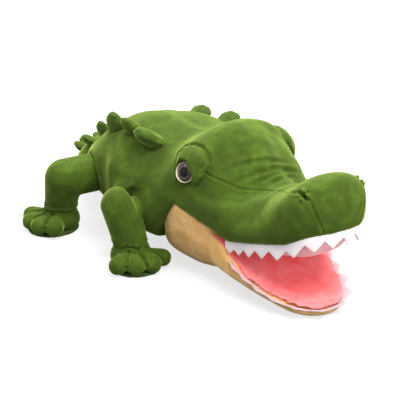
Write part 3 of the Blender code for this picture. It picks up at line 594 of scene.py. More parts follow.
class Skin:
    """A closed cloth skin, which is drawn over solids and then worked point by point."""

    def __init__(
        self,
        name: str,
        nodes: Sequence[str],
        voxel: float,
        swell: float,
        extra: Sequence[bpy.types.Mesh] = (),
    ) -> None:
        """Draws one closed skin over the solids of some pieces.

        Args:
            name: The new piece's name.
            nodes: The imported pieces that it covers.
            voxel: Spacing of the skin's first points.
            swell: How far each solid is grown, so that neighbours meet.
            extra: More closed meshes to cover.
        """
        self.nodes = list(nodes)
        whole = bmesh.new()
        for node in nodes:
            solid = bmesh.new()
            solid.from_mesh(bpy.data.objects[node].data)
            bmesh.ops.remove_doubles(solid, verts=solid.verts, dist=WELD)
            solid.normal_update()
            for vert in solid.verts:
                vert.co += vert.normal * swell
            grown = bpy.data.meshes.new(node + "_grown")
            solid.to_mesh(grown)
            solid.free()
            whole.from_mesh(grown)
            bpy.data.meshes.remove(grown)
        for patch in extra:
            whole.from_mesh(patch)
        mesh = bpy.data.meshes.new(name)
        whole.to_mesh(mesh)
        whole.free()
        self.piece = bpy.data.objects.new(name, mesh)
        bpy.context.collection.objects.link(self.piece)
        self._apply("REMESH", mode="VOXEL", voxel_size=voxel)
        self._drop_crumbs()

    def _drop_crumbs(self) -> None:
        """Deletes the loose shells, under a twentieth of the skin, that the remesh leaves in slits."""
        form = bmesh.new()
        form.from_mesh(self.piece.data)
        seen: set[bmesh.types.BMVert] = set()
        crumbs: list[bmesh.types.BMVert] = []
        for start in form.verts:
            if start in seen:
                continue
            seen.add(start)
            shell = [start]
            for vert in shell:
                fresh = [edge.other_vert(vert) for edge in vert.link_edges]
                fresh = [other for other in fresh if other not in seen]
                seen.update(fresh)
                shell.extend(fresh)
            if len(shell) < len(form.verts) / 20:
                crumbs.extend(shell)
        if crumbs:
            bmesh.ops.delete(form, geom=crumbs, context="VERTS")
            form.to_mesh(self.piece.data)
        form.free()

    def _apply(self, kind: str, **settings: Any) -> None:
        """Adds one modifier and bakes it into the mesh.

        Args:
            kind: The modifier's type.
            settings: Its attributes.
        """
        modifier = self.piece.modifiers.new(kind.lower(), kind)
        for key, value in settings.items():
            setattr(modifier, key, value)
        graph = bpy.context.evaluated_depsgraph_get()
        mesh = bpy.data.meshes.new_from_object(self.piece.evaluated_get(graph))
        self.piece.modifiers.clear()
        old = self.piece.data
        self.piece.data = mesh
        bpy.data.meshes.remove(old)
        mesh.name = self.piece.name

    def _read(self, key: str) -> np.ndarray:
        """Reads one vector of every point of the mesh.

        Args:
            key: The vector's name in Blender.

        Returns:
            The vectors, one row each.
        """
        vertices = self.piece.data.vertices
        flat = np.empty(len(vertices) * 3, np.float32)
        vertices.foreach_get(key, flat)
        return flat.reshape(-1, 3).astype(float)

    @property
    def points(self) -> np.ndarray:
        """The skin's points, one row each."""
        return self._read("co")

    @points.setter
    def points(self, moved: np.ndarray) -> None:
        """Puts the points back and freshens the mesh."""
        self.piece.data.vertices.foreach_set("co", moved.astype(np.float32).ravel())
        self.piece.data.update()

    @property
    def normals(self) -> np.ndarray:
        """The outward direction at each point, one row each."""
        return self._read("normal")

    def relax(self, rounds: int, keep: np.ndarray | None = None, give_back: float = 0.46) -> None:
        """Evens out the skin, as filling does to cloth, without drawing it in.

        Args:
            rounds: How many times each point moves towards its neighbours and part of the way back.
            keep: For each point, the share of the move that it takes, or None for all of it.
            give_back: How far it moves back. None at all fills hollows and wears ridges down.
        """
        mesh = self.piece.data
        ends = np.empty(len(mesh.edges) * 2, np.int32)
        mesh.edges.foreach_get("vertices", ends)
        first, second = ends.reshape(-1, 2).T
        points = self.points
        count = len(points)
        links = np.bincount(first, minlength=count) + np.bincount(second, minlength=count)
        share = np.ones(count) if keep is None else keep
        for turn in range(2 * rounds):
            pull = 0.5 if turn % 2 == 0 else -give_back
            mean = np.empty_like(points)
            for axis in range(3):
                column = points[:, axis]
                total = np.bincount(first, column[second], count)
                mean[:, axis] = (total + np.bincount(second, column[first], count)) / links
            points = points + pull * share[:, None] * (mean - points)
        self.points = points

    def puff(self, amount: float | np.ndarray) -> None:
        """Moves each point out along its normal by one distance or by its own."""
        self.points = self.points + self.normals * np.reshape(amount, (-1, 1))

    def push(self, pushes: Iterable[Push]) -> None:
        """Moves some regions of the skin softly."""
        points = self.points
        self.points = points + sum(push.moves(points) for push in pushes)

    def refine(self) -> None:
        """Divides every face in four, smoothly."""
        self._apply("SUBSURF", levels=1, render_levels=1)

    def lumps(self, filling: Filling) -> None:
        """Gives the filling its slight unevenness.

        Args:
            filling: How uneven it is.
        """
        shift = Vector([filling.seed] * 3)
        heights = [noise.noise(Vector(p) / filling.size + shift) for p in self.points]
        self.puff(np.array(heights) * filling.height)

    def press(self, creases: Iterable["Crease"], mirror_y: float | None = None) -> None:
        """Presses lines into the skin.

        Args:
            creases: The lines.
            mirror_y: Y of the toy's middle plane, to press each line on the other side too.
        """
        tree = self.tree()
        points = self.points
        moves = np.zeros(len(points))
        for crease in creases:
            for route in crease.routes(tree, mirror_y):
                if len(route) > 1:
                    moves += crease.moves(points, route)
        self.puff(moves)

    def tree(self) -> BVHTree:
        """The skin's faces, ready for rays to find them."""
        corners, faces = self.piece.data.vertices, self.piece.data.polygons
        return BVHTree.FromPolygons([v.co for v in corners], [tuple(f.vertices) for f in faces])

    def dress(self, finish: PlushFinish, body: str) -> bpy.types.Object:
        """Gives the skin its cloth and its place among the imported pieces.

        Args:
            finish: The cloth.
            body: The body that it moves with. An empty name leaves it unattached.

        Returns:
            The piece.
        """
        self.piece.data.materials.clear()
        self.piece.data.materials.append(finish_of(finish))
        self.piece.data.shade_smooth()
        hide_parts(*self.nodes)
        if body:
            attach(self.piece, body)
        log.info("%s: %d faces", self.piece.name, len(self.piece.data.polygons))
        return self.piece


@dataclass(frozen=True)
class Crease:
    """A line on a skin, thrown onto it from the photograph's pixels or given in the toy's frame.

    The width is half the groove's. A negative depth raises a ridge. The lips are the height of the
    swelling on both sides, as a share of the depth.
    """

    pixels: tuple[Pixel, ...] = ()
    line: tuple[Vector, ...] = ()
    width: float = 1.6 * MM
    depth: float = 0.9 * MM
    lips: float = 0.3
    mark: Mark = Mark.SEAM
    both_sides: bool = True
    step_px: float = 2.0

    def routes(self, tree: BVHTree, mirror_y: float | None) -> list[list[Vector]]:
        """The crease's points on the skin.

        Args:
            tree: The skin's faces.
            mirror_y: Y of the toy's middle plane, or None to leave the other side alone.

        Returns:
            One route, or one for each side.
        """
        found = list(self.line)
        for start, end in zip(self.pixels, self.pixels[1:]):
            count = max(1, round(math.dist(start, end) / self.step_px))
            for k in range(count + 1):
                share = k / count
                pixel = tuple(a + (b - a) * share for a, b in zip(start, end))
                hit = tree.ray_cast(VIEW.place(), VIEW.ray(pixel))[0]
                if hit is not None:
                    found.append(hit)
        routes = [found]
        if self.both_sides and mirror_y is not None:
            routes.append([Vector((p.x, 2 * mirror_y - p.y, p.z)) for p in found])
        return routes

    def moves(self, points: np.ndarray, route: Route) -> np.ndarray:
        """How far each point of a skin moves out when the crease is pressed into it.

        Args:
            points: The skin's points, one row each.
            route: The crease's points on the skin.

        Returns:
            One distance for each point.
        """
        line = np.array([tuple(p) for p in route])
        moves = np.zeros(len(points))
        reach = 5 * self.width
        near = np.all((points > line.min(0) - reach) & (points < line.max(0) + reach), axis=1)
        some = points[near]
        if len(some) == 0:
            return moves
        steps = np.diff(line, axis=0)
        lengths = np.maximum(np.linalg.norm(steps, axis=1), 1e-9)
        runs = np.concatenate([[0.0], np.cumsum(lengths)])
        nearest = np.full(len(some), np.inf)
        along = np.zeros(len(some))
        for start, step, length, run in zip(line, steps, lengths, runs):
            share = np.clip((some - start) @ step / length**2, 0, 1)
            away = np.linalg.norm(some - start - share[:, None] * step, axis=1)
            closer = away < nearest
            nearest[closer] = away[closer]
            along[closer] = run + share[closer] * length
        dip = np.exp(-((nearest / self.width) ** 2))
        rise = np.exp(-(((nearest - 2 * self.width) / self.width) ** 2))
        move = self.depth * (self.lips * rise - dip)
        if self.mark is Mark.FOLD:
            move *= np.clip(np.sin(np.pi * along / runs[-1]), 0, 1) ** 0.8
        moves[near] = move
        return moves


_finishes: dict[str, bpy.types.Material] = {}


def finish_of(finish: PlushFinish | FeltFinish | PlasticFinish) -> bpy.types.Material:
    """The finish's material, built the first time it is asked for.

    Args:
        finish: What the material is to look like.

    Returns:
        The one material that all its pieces share.
    """
    if finish.name not in _finishes:
        _finishes[finish.name] = finish.material()
    return _finishes[finish.name]


def new_piece(name: str, form: bmesh.types.BMesh) -> bpy.types.Object:
    """Turns a finished bmesh into a piece at the origin.

    Args:
        name: The piece's name.
        form: The mesh, which is freed.

    Returns:
        The piece.
    """
    bmesh.ops.recalc_face_normals(form, faces=form.faces)
    mesh = bpy.data.meshes.new(name)
    form.to_mesh(mesh)
    form.free()
    mesh.shade_smooth()
    piece = bpy.data.objects.new(name, mesh)
    bpy.context.collection.objects.link(piece)
    return piece


def settle(piece: bpy.types.Object, node: str, body: str) -> None:
    """Puts a hard or felt piece in the place of its packed one.

    Args:
        piece: The finished piece.
        node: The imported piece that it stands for.
        body: The body that it moves with.
    """
    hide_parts(node)
    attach(piece, body)
    log.info("%s: %d faces", piece.name, len(piece.data.polygons))


def middle_of(*nodes: str) -> Vector:
    """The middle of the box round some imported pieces.

    Args:
        nodes: The pieces' names.

    Returns:
        The point.
    """
    boxes = [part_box(node) for node in nodes]
    low = [min(b[0][k] for b in boxes) for k in range(3)]
    high = [max(b[1][k] for b in boxes) for k in range(3)]
    return Vector([(a + b) / 2 for a, b in zip(low, high)])


def spines_of(part: str, side: str = "") -> list[str]:
    """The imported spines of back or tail, on one side or on both."""
    names = (item.name for item in bpy.data.objects if item.type == "MESH")
    return sorted(name for name in names if name.startswith(f"{part}_spine_{side}"))


# Sub-assemblies

# How the filled cloth hangs, where more than one piece follows it
LIP_DROP = Push((178, 58, 90), (76, 46, 44), (0, 0, -8.5), climb=0.27)
LOWER_TEETH_DROP = Push((210, 45, 25), (110, 90, 60), (0, 0.6, -1.4))
SHOULDER_SAG = Push((-72, 32, 155), (82, 54, 50), (0, 0, -8), both_sides=False)


@dataclass
class UpperBody:
    """Head, trunk and tail under one green skin, with the sewn panel lines and the folds of the snout."""

    voxel: float = 3.3 * MM
    swell: float = 0.6 * MM
    relax_rounds: int = 14
    filling: Filling = Filling(0.045, 1.0 * MM, 3.1)
    bend: float = 0.030
    seam_width: float = 1.5 * MM
    seam_depth: float = 1.3 * MM
    panel_seam_px: tuple[Pixel, ...] = (
        (204, 172), (212, 177), (231, 185), (240, 189), (255, 190.5), (283, 191), (294, 193),
        (302, 196), (310, 202), (316, 216), (321, 227), (325, 238),
    )
    snout_folds_px: tuple[tuple[Pixel, ...], ...] = (
        ((231, 186), (243, 179), (258, 173.5), (278, 169), (300, 171)),
        ((248, 190), (259, 182), (272, 175.5), (288, 171.5), (303, 174)),
        ((266, 190), (274, 183), (286, 177), (300, 176)),
        ((226, 170), (244, 164), (266, 160.5), (288, 162)),
    )
    brow_edge_px: tuple[Pixel, ...] = (
        (178, 182), (176, 172), (176, 161), (179, 152), (186, 145), (194, 144), (202, 147), (208, 154),
        (209, 162),
    )
    nostril_px: tuple[tuple[Pixel, ...], ...] = (
        ((296, 191), (303, 196), (310, 201)),
        ((297, 199), (303, 195), (309, 191)),
        ((299, 190), (304, 196), (306, 203)),
    )
    pushes: tuple[Push, ...] = (
        LIP_DROP,
        SHOULDER_SAG,
        Push((112, 64, 150), (46, 64, 48), (0, -4, -8)),
        Push((142, 0, 140), (26, 64, 26), (0, 0, -4), both_sides=False),
        Push((-32, 86, 74), (84, 46, 60), (0, 11, 0)),
        Push((-20, 80, 56), (52, 46, 46), (0, 9, 0)),
        Push((-150, 84, 72), (60, 44, 60), (0, 5, 0)),
    )
    neck_rounds: int = 26
    neck_mm: tuple[float, float, float, float] = (-18, 8, 24, 46)
    nape_mm: tuple[float, float] = (60, 90)
    socket_radius: float = 13 * MM
    socket_rim: float = 7 * MM
    socket_reach: float = 25 * MM
    socket_depth: float = 4.0 * MM
    spine_foot: float = 8 * MM

    def build(self, frame: dict) -> None:
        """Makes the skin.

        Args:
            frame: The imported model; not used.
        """
        middle_y = middle_of("head").y
        skin = Skin("upper_skin", ["head", "trunk", "tail"], self.voxel, self.swell)
        skin.relax(self.relax_rounds)
        skin.push(self.pushes)
        along = (skin.points[:, 0] - TOY_ORIGIN[0]) / MM
        neck = ease(along, *self.neck_mm[:2]) * (1 - ease(along, *self.neck_mm[2:]))
        neck *= ease(skin.points[:, 2] / MM, *self.nape_mm)
        skin.relax(self.neck_rounds, neck, give_back=0.0)
        self.sockets(skin)
        skin.refine()
        skin.lumps(self.filling)
        skin.press(self.creases(), middle_y)
        skin.press(self.back_seams())
        skin.relax(1)
        skin.dress(GREEN, "")
        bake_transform(skin.piece)

    def sockets(self, skin: Skin) -> None:
        """Draws the skin in round each eye, as its washer pulls it.

        Args:
            skin: The body's skin.
        """
        points = skin.points
        for side in Side:
            seat = middle_of(f"eye_ring_{side.word}")
            look = np.array((seat - middle_of(f"eye_washer_{side.word}")).normalized())
            offset = points - np.array(seat)
            high = offset @ look
            away = np.linalg.norm(offset - np.outer(high, look), axis=1)
            near = 1 - ease(away, self.socket_radius, self.socket_radius + self.socket_rim)
            near *= np.abs(high) < self.socket_reach
            points -= np.outer(near * self.socket_depth, look)
        skin.points = points

    def creases(self) -> list[Crease]:
        """The lines that show on the head.

        Returns:
            The panel seams, the edges of the brows, the snout's folds and the pinched nostrils.
        """
        seams = [
            Crease(self.panel_seam_px, width=self.seam_width, depth=self.seam_depth),
            Crease(self.brow_edge_px, width=2.0 * MM, depth=2.2 * MM, lips=0.2),
        ]
        folds = [
            Crease(px, width=2.6 * MM, depth=1.5 * MM, lips=0.7, mark=Mark.FOLD, both_sides=False)
            for px in self.snout_folds_px
        ]
        tucks = [
            Crease(px, width=1.6 * MM, depth=6.0 * MM, lips=0.3, mark=Mark.FOLD, step_px=1.0)
            for px in self.nostril_px
        ]
        return seams + folds + tucks

    def back_seams(self) -> list[Crease]:
        """The two long seams that hold the spines.

        Returns:
            One crease for each side.
        """
        rows = []
        for side in Side:
            feet = []
            for name in spines_of("back", side.word) + spines_of("tail", side.word):
                middle = middle_of(name)
                middle.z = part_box(name)[0][2] + self.spine_foot
                feet.append(middle)
            line = tuple(sorted(feet, key=lambda p: -p.x))
            rows.append(Crease(line=line, width=self.seam_width, depth=self.seam_depth, both_sides=False))
        return rows


@dataclass
class Underside:
    """The tan belly, which runs on under the tail."""

    voxel: float = 3.0 * MM
    swell: float = 0.5 * MM
    relax_rounds: int = 8
    filling: Filling = Filling(0.04, 0.8 * MM, 7.7)
    bend: float = 0.030

    def build(self, frame: dict) -> None:
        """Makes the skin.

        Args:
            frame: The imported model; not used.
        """
        skin = Skin("belly_skin", ["belly", "tail_underside"], self.voxel, self.swell)
        skin.relax(self.relax_rounds)
        skin.refine()
        skin.lumps(self.filling)
        skin.dress(TAN, "")
        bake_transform(skin.piece)


@dataclass
class Chin:
    """The tan skin of cheeks, throat and lower jaw, in one cut."""

    voxel: float = 2.6 * MM
    swell: float = 0.5 * MM
    relax_rounds: int = 7
    filling: Filling = Filling(0.04, 0.8 * MM, 1.4)
    bend_behind: float = 0.020
    bend_ahead: float = 0.028
    jaw_rise: Push = Push((158, 56, 0), (70, 60, 34), (0, 0, 3.2))
    corner_rows_px: tuple[float, ...] = (236, 244, 251, 260, 269, 279)
    corner_columns_px: tuple[float, ...] = (214, 220, 226, 233, 241, 252)
    corner_reach_mm: tuple[float, float] = (104.0, 165.0)
    corner_foot_px: float = 300.0
    least_facing: float = -0.05
    cloth_lift: float = 0.9 * MM
    cloth_depth: float = 5.0 * MM

    def build(self, frame: dict) -> bpy.types.Mesh:
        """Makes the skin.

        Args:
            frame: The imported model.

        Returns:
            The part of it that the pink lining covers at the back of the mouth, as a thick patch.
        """
        skin = Skin("chin_skin", ["throat", "lower_jaw"], self.voxel, self.swell)
        skin.relax(self.relax_rounds)
        skin.push([self.jaw_rise])
        skin.refine()
        skin.lumps(self.filling)
        skin.dress(TAN, "")
        patch = self.corner(skin.piece.data)
        self.bend(skin.piece, frame)
        return patch

    def bend(self, piece: bpy.types.Object, frame: dict) -> None:
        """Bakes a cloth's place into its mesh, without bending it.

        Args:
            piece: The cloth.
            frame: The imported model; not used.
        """
        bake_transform(piece)

    def corner(self, skin: bpy.types.Mesh) -> bpy.types.Mesh:
        """Copies the skin inside the corners of the mouth, as the photograph's pixels bound it.

        Args:
            skin: The chin's finished skin.

        Returns:
            A closed patch that stands a little proud of the skin.
        """
        form = bmesh.new()
        form.from_mesh(skin)
        form.normal_update()
        away = [face for face in form.faces if not self.in_mouth(face)]
        for vert in form.verts:
            vert.co += vert.normal * self.cloth_lift
        inward = {vert: vert.normal.copy() for vert in form.verts}
        bmesh.ops.delete(form, geom=away, context="FACES")
        inward = {vert: normal for vert, normal in inward.items() if vert.is_valid}
        normals = [inward[vert] for vert in form.verts]
        made = bmesh.ops.extrude_face_region(form, geom=list(form.faces), use_keep_orig=True)
        fresh = [item for item in made["geom"] if isinstance(item, bmesh.types.BMVert)]
        added = set(fresh)
        outer = [vert for vert in form.verts if vert not in added]
        normal_at = {tuple(vert.co): normal for vert, normal in zip(outer, normals)}
        for vert in fresh:
            vert.co -= normal_at.get(tuple(vert.co), Vector((0, 0, 1))) * self.cloth_depth
        patch = bpy.data.meshes.new("mouth_corner_patch")
        form.to_mesh(patch)
        form.free()
        return patch

    def in_mouth(self, face: bmesh.types.BMFace) -> bool:
        """Whether a face of the skin lies inside the mouth.

        Args:
            face: The face, on either side of the toy.

        Returns:
            True where the pink lining covers it.
        """
        middle = face.calc_center_median()
        along = (middle.x - TOY_ORIGIN[0]) / MM
        if not self.corner_reach_mm[0] < along < self.corner_reach_mm[1]:
            return False
        side = middle.y - TOY_ORIGIN[1]
        near = Vector((middle.x, TOY_ORIGIN[1] - abs(side), middle.z))
        outward = math.copysign(abs(face.normal.y), -side * face.normal.y)
        facing = Vector((face.normal.x, outward, face.normal.z)).dot(VIEW.axes()[2])
        column, row = VIEW.pixel(near)
        edge = np.interp(row, self.corner_rows_px, self.corner_columns_px)
        return bool(column > edge and row < self.corner_foot_px and facing > self.least_facing)


@dataclass
class Mouth:
    """The pink lining above and below, and the felt teeth round both lips."""

    voxel: float = 2.4 * MM
    swell: float = 0.2 * MM
    relax_rounds: int = 5
    fill: float = 0.5
    filling: Filling = Filling(0.03, 0.7 * MM, 5.2)
    lining_widening: float = 0.165
    lining_reach: float = 9.5 * MM
    lining_rise: float = 1.8 * MM
    widens_mm: tuple[float, float] = (140, 175)
    reaches_mm: tuple[float, float] = (180, 233)
    palate_lift: Push = Push((222, 0, 82), (60, 110, 70), (0, 0, 4.5), both_sides=False)
    felt_bevel: float = 0.35 * MM
    felt_curl: float = 0.8 * MM
    felt_wave: float = 18 * MM
    felt_edge: float = 2.5 * MM
    felt_flat_deg: float = 2.0
    felt_sharp_deg: float = 35.0
    felt_smooth_deg: float = 50.0

    def build(self, chin: Chin, corner: bpy.types.Mesh, frame: dict) -> None:
        """Makes the linings and both rows of teeth.

        Args:
            chin: The chin, whose cloth the lower lining follows.
            corner: What the lower lining also covers at the back of the mouth.
            frame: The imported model.
        """
        palate = Skin("palate_skin", ["palate"], self.voxel, self.swell)
        palate.relax(self.relax_rounds)
        palate.push([self.palate_lift])
        palate.refine()
        palate.lumps(self.filling)
        palate.dress(PALE_PINK, "torso")
        lining = Skin("mouth_lining_skin", ["jaw_lining"], self.voxel, self.swell, [corner])
        points = lining.points
        along = (points[:, 0] - TOY_ORIGIN[0]) / MM
        ahead = ease(along, *self.widens_mm)
        points[:, 1] += (points[:, 1] - TOY_ORIGIN[1]) * self.lining_widening * ahead
        points[:, 0] += self.lining_reach * ease(along, *self.reaches_mm)
        points[:, 2] += self.lining_rise * ahead
        lining.points = points
        lining.relax(self.relax_rounds)
        lining.refine()
        lining.lumps(self.filling)
        lining.dress(CORAL, "")
        chin.bend(lining.piece, frame)
        self.teeth("upper_felt_teeth", "upper_teeth", "torso", FELT, LIP_DROP)
        self.teeth("lower_felt_teeth", "lower_teeth", "jaw", FELT_WITH_PAINTED_SHADE_AND_REFLECTION, LOWER_TEETH_DROP)

    def teeth(self, name: str, node: str, body: str, finish: FeltFinish, push: Push) -> None:
        """Softens one strip of felt teeth.

        Args:
            name: The piece's name.
            node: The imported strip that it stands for.
            body: The body that it moves with.
            finish: The felt.
            push: How the strip hangs in the sewn toy.
        """
        form = bmesh.new()
        form.from_mesh(bpy.data.objects[node].data)
        bmesh.ops.remove_doubles(form, verts=form.verts, dist=WELD)
        flat, sharp = math.radians(self.felt_flat_deg), math.radians(self.felt_sharp_deg)
        bmesh.ops.dissolve_limit(form, angle_limit=flat, verts=form.verts, edges=form.edges)
        cut = [e for e in form.edges if len(e.link_faces) == 2 and e.calc_face_angle() > sharp]
        bmesh.ops.bevel(
            form, geom=cut, offset=self.felt_bevel, affect="EDGES", segments=2, profile=0.5, material=-1
        )
        bmesh.ops.triangulate(form, faces=form.faces)
        long = [e for e in form.edges if e.calc_length() > self.felt_edge]
        bmesh.ops.subdivide_edges(form, edges=long, cuts=2, use_grid_fill=True)
        for vert in form.verts:
            sway = noise.noise_vector(vert.co / self.felt_wave)
            vert.co += Vector((sway.x, sway.y, 0)) * self.felt_curl
        moves = push.moves(np.array([tuple(vert.co) for vert in form.verts]))
        for vert, move in zip(form.verts, moves):
            vert.co += Vector(move)
        piece = new_piece(name, form)
        piece.data.set_sharp_from_angle(angle=math.radians(self.felt_smooth_deg))
        piece.data.materials.append(finish_of(finish))
        settle(piece, node, body)


@dataclass
class Eye:
    """A safety eye in its moulded ring, with the padded brow that wraps it."""

    side: Side
    segments: int = 64
    rings: int = 14
    collar_rings: int = 16
    dome_share: float = 0.55
    dome_rim: float = 0.4 * MM
    shank_radius: float = 2.5 * MM
    collar_gap: float = 0.2 * MM
    brow_voxel: float = 1.6 * MM
    brow_swell: float = 0.5 * MM
    brow_rounds: int = 6
    brow_growth: float = 0.12
    brow_plump: float = 0.8 * MM
    brow_filling: Filling = Filling(0.02, 0.5 * MM, 2.2)
    brow_shift: dict[Side, tuple[float, float, float]] = field(
        default_factory=lambda: {
            Side.RIGHT: (2 * MM, 0.0, -3.5 * MM),
            Side.LEFT: (-3 * MM, -2 * MM, -2.0 * MM),
        }
    )
    socket_radius: float = 13.5 * MM
    socket_rim: float = 3 * MM
    socket_floor: float = -4.5 * MM
    lid_way: tuple[float, float, float] = (0.85, 0.0, 0.5)
    lid_away: float = 14.5 * MM
    lid_width: float = 5 * MM
    lid_height: float = 2.2 * MM
    lid_holds: float = 0.8
    brow_rim_px: tuple[Pixel, ...] = (
        (178, 164), (179, 156), (183, 150), (190, 147), (198, 148), (204, 153),
    )
    brow_tuck_px: tuple[Pixel, ...] = ((207, 157), (205, 163), (201, 168), (198, 171))

    def build(self) -> None:
        """Makes the eye, its ring and its brow, and finishes the washer behind."""
        word = self.side.word
        eye, ring, washer = (f"{part}_{word}" for part in ("eye", "eye_ring", "eye_washer"))
        axis = (middle_of(eye) - middle_of(washer)).normalized()
        self.dome(eye, axis)
        self.ring(ring, axis)
        node = bpy.data.objects[washer]
        node.data.materials.clear()
        node.data.materials.append(finish_of(WASHER))
        brow = Skin(f"brow_skin_{word}", [f"brow_{word}"], self.brow_voxel, self.brow_swell)
        brow.relax(self.brow_rounds)
        brow.puff(self.brow_plump)
        self.hood(brow, middle_of(ring), axis)
        brow.refine()
        brow.lumps(self.brow_filling)
        brow.press(self.brow_marks(), TOY_ORIGIN[1])
        brow.dress(GREEN, "torso")

    def hood(self, skin: Skin, seat: Vector, axis: Vector) -> None:
        """Draws the brow round the eye: a socket that the ring sits in, and a lid over its front edge.

        Args:
            skin: The brow's skin.
            seat: The middle of the eye's ring.
            axis: The direction in which the eye looks.
        """
        points = skin.points
        look = np.array(axis)
        offset = points - points.mean(0)
        points += (offset - np.outer(offset @ look, look)) * self.brow_growth
        points += np.array(self.brow_shift[self.side])
        offset = points - np.array(seat)
        high = offset @ look
        flat = offset - np.outer(high, look)
        away = np.linalg.norm(flat, axis=1)
        socket = 1 - ease(away, self.socket_radius, self.socket_radius + self.socket_rim)
        sunk = np.minimum(high, self.socket_floor)
        lid_side = np.clip(flat @ np.array(self.lid_way) / np.maximum(away, WELD), 0, 1)
        lid = np.exp(-(((away - self.lid_away) / self.lid_width) ** 2)) * lid_side
        lid *= high > self.socket_floor
        rise = (sunk - high) * socket * (1 - lid_side * self.lid_holds) + lid * self.lid_height
        skin.points = points + np.outer(rise, look)

    def brow_marks(self) -> list[Crease]:
        """The lines on the brow.

        Returns:
            The rim of its seam and the tuck in front of it.
        """
        rim = Crease(self.brow_rim_px, width=1.1 * MM, depth=-0.7 * MM, lips=0.0, mark=Mark.FOLD)
        tuck = Crease(self.brow_tuck_px, width=1.4 * MM, depth=1.6 * MM, lips=0.5, mark=Mark.FOLD)
        return [rim, tuck]

    def spans(self, node: str, axis: Vector) -> tuple[Vector, float, float, float]:
        """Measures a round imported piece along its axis.

        Args:
            node: The piece.
            axis: The direction that it is turned about.

        Returns:
            Its middle, its radius, and its lowest and highest reach along the axis from there.
        """
        middle = middle_of(node)
        offsets = [vert.co - middle for vert in bpy.data.objects[node].data.vertices]
        reaches = [offset.dot(axis) for offset in offsets]
        radius = max((offset - axis * reach).length for offset, reach in zip(offsets, reaches))
        return middle, radius, min(reaches), max(reaches)

    def turned(
        self, name: str, profile: Sequence[tuple[float, float]], middle: Vector, axis: Vector
    ) -> bpy.types.Object:
        """Spins a profile about an axis.

        Args:
            name: The piece's name.
            profile: Radius and height of each point.
            middle: Where height is zero.
            axis: The direction of the axis.

        Returns:
            The piece.
        """
        form = bmesh.new()
        verts = [form.verts.new((radius, 0, height)) for radius, height in profile]
        edges = [form.edges.new(pair) for pair in zip(verts, verts[1:])]
        bmesh.ops.spin(
            form,
            geom=verts + edges,
            cent=(0, 0, 0),
            axis=(0, 0, 1),
            angle=2 * math.pi,
            steps=self.segments,
            use_merge=True,
        )
        bmesh.ops.remove_doubles(form, verts=form.verts, dist=WELD)
        turn = Vector((0, 0, 1)).rotation_difference(axis).to_matrix().to_4x4()
        bmesh.ops.transform(form, matrix=Matrix.Translation(middle) @ turn, verts=form.verts)
        return new_piece(name, form)

    def dome(self, node: str, axis: Vector) -> None:
        """Turns the domed eye with its shank.

        Args:
            node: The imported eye.
            axis: The direction in which the eye looks.
        """
        middle, radius, low, high = self.spans(node, axis)
        bulge = radius * self.dome_share
        profile = []
        for k in range(self.rings + 1):
            turn = math.pi / 2 * k / self.rings
            profile.append((radius * math.sin(turn), high - bulge * (1 - math.cos(turn))))
        back = high - bulge - self.dome_rim
        profile += [(radius, back), (self.shank_radius, back), (self.shank_radius, low), (0, low)]
        piece = self.turned(f"eye_dome_{self.side.word}", profile, middle, axis)
        piece.data.materials.append(EYE.material(middle + axis * (high - bulge), axis, radius))
        settle(piece, node, "torso")

    def ring(self, node: str, axis: Vector) -> None:
        """Turns the moulded ring round the dome.

        Args:
            node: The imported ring.
            axis: The direction in which the eye looks.
        """
        middle, outer, low, high = self.spans(node, axis)
        eye_radius = self.spans(f"eye_{self.side.word}", axis)[1]
        half_width = (outer - eye_radius - self.collar_gap) / 2
        half_height = (high - low) / 2
        centre = outer - half_width
        profile = []
        for k in range(self.collar_rings + 1):
            turn = 2 * math.pi * k / self.collar_rings
            profile.append((centre + half_width * math.cos(turn), half_height * math.sin(turn)))
        piece = self.turned(f"eye_collar_{self.side.word}", profile, middle, axis)
        piece.data.materials.append(finish_of(EYE_RING))
        settle(piece, node, "torso")


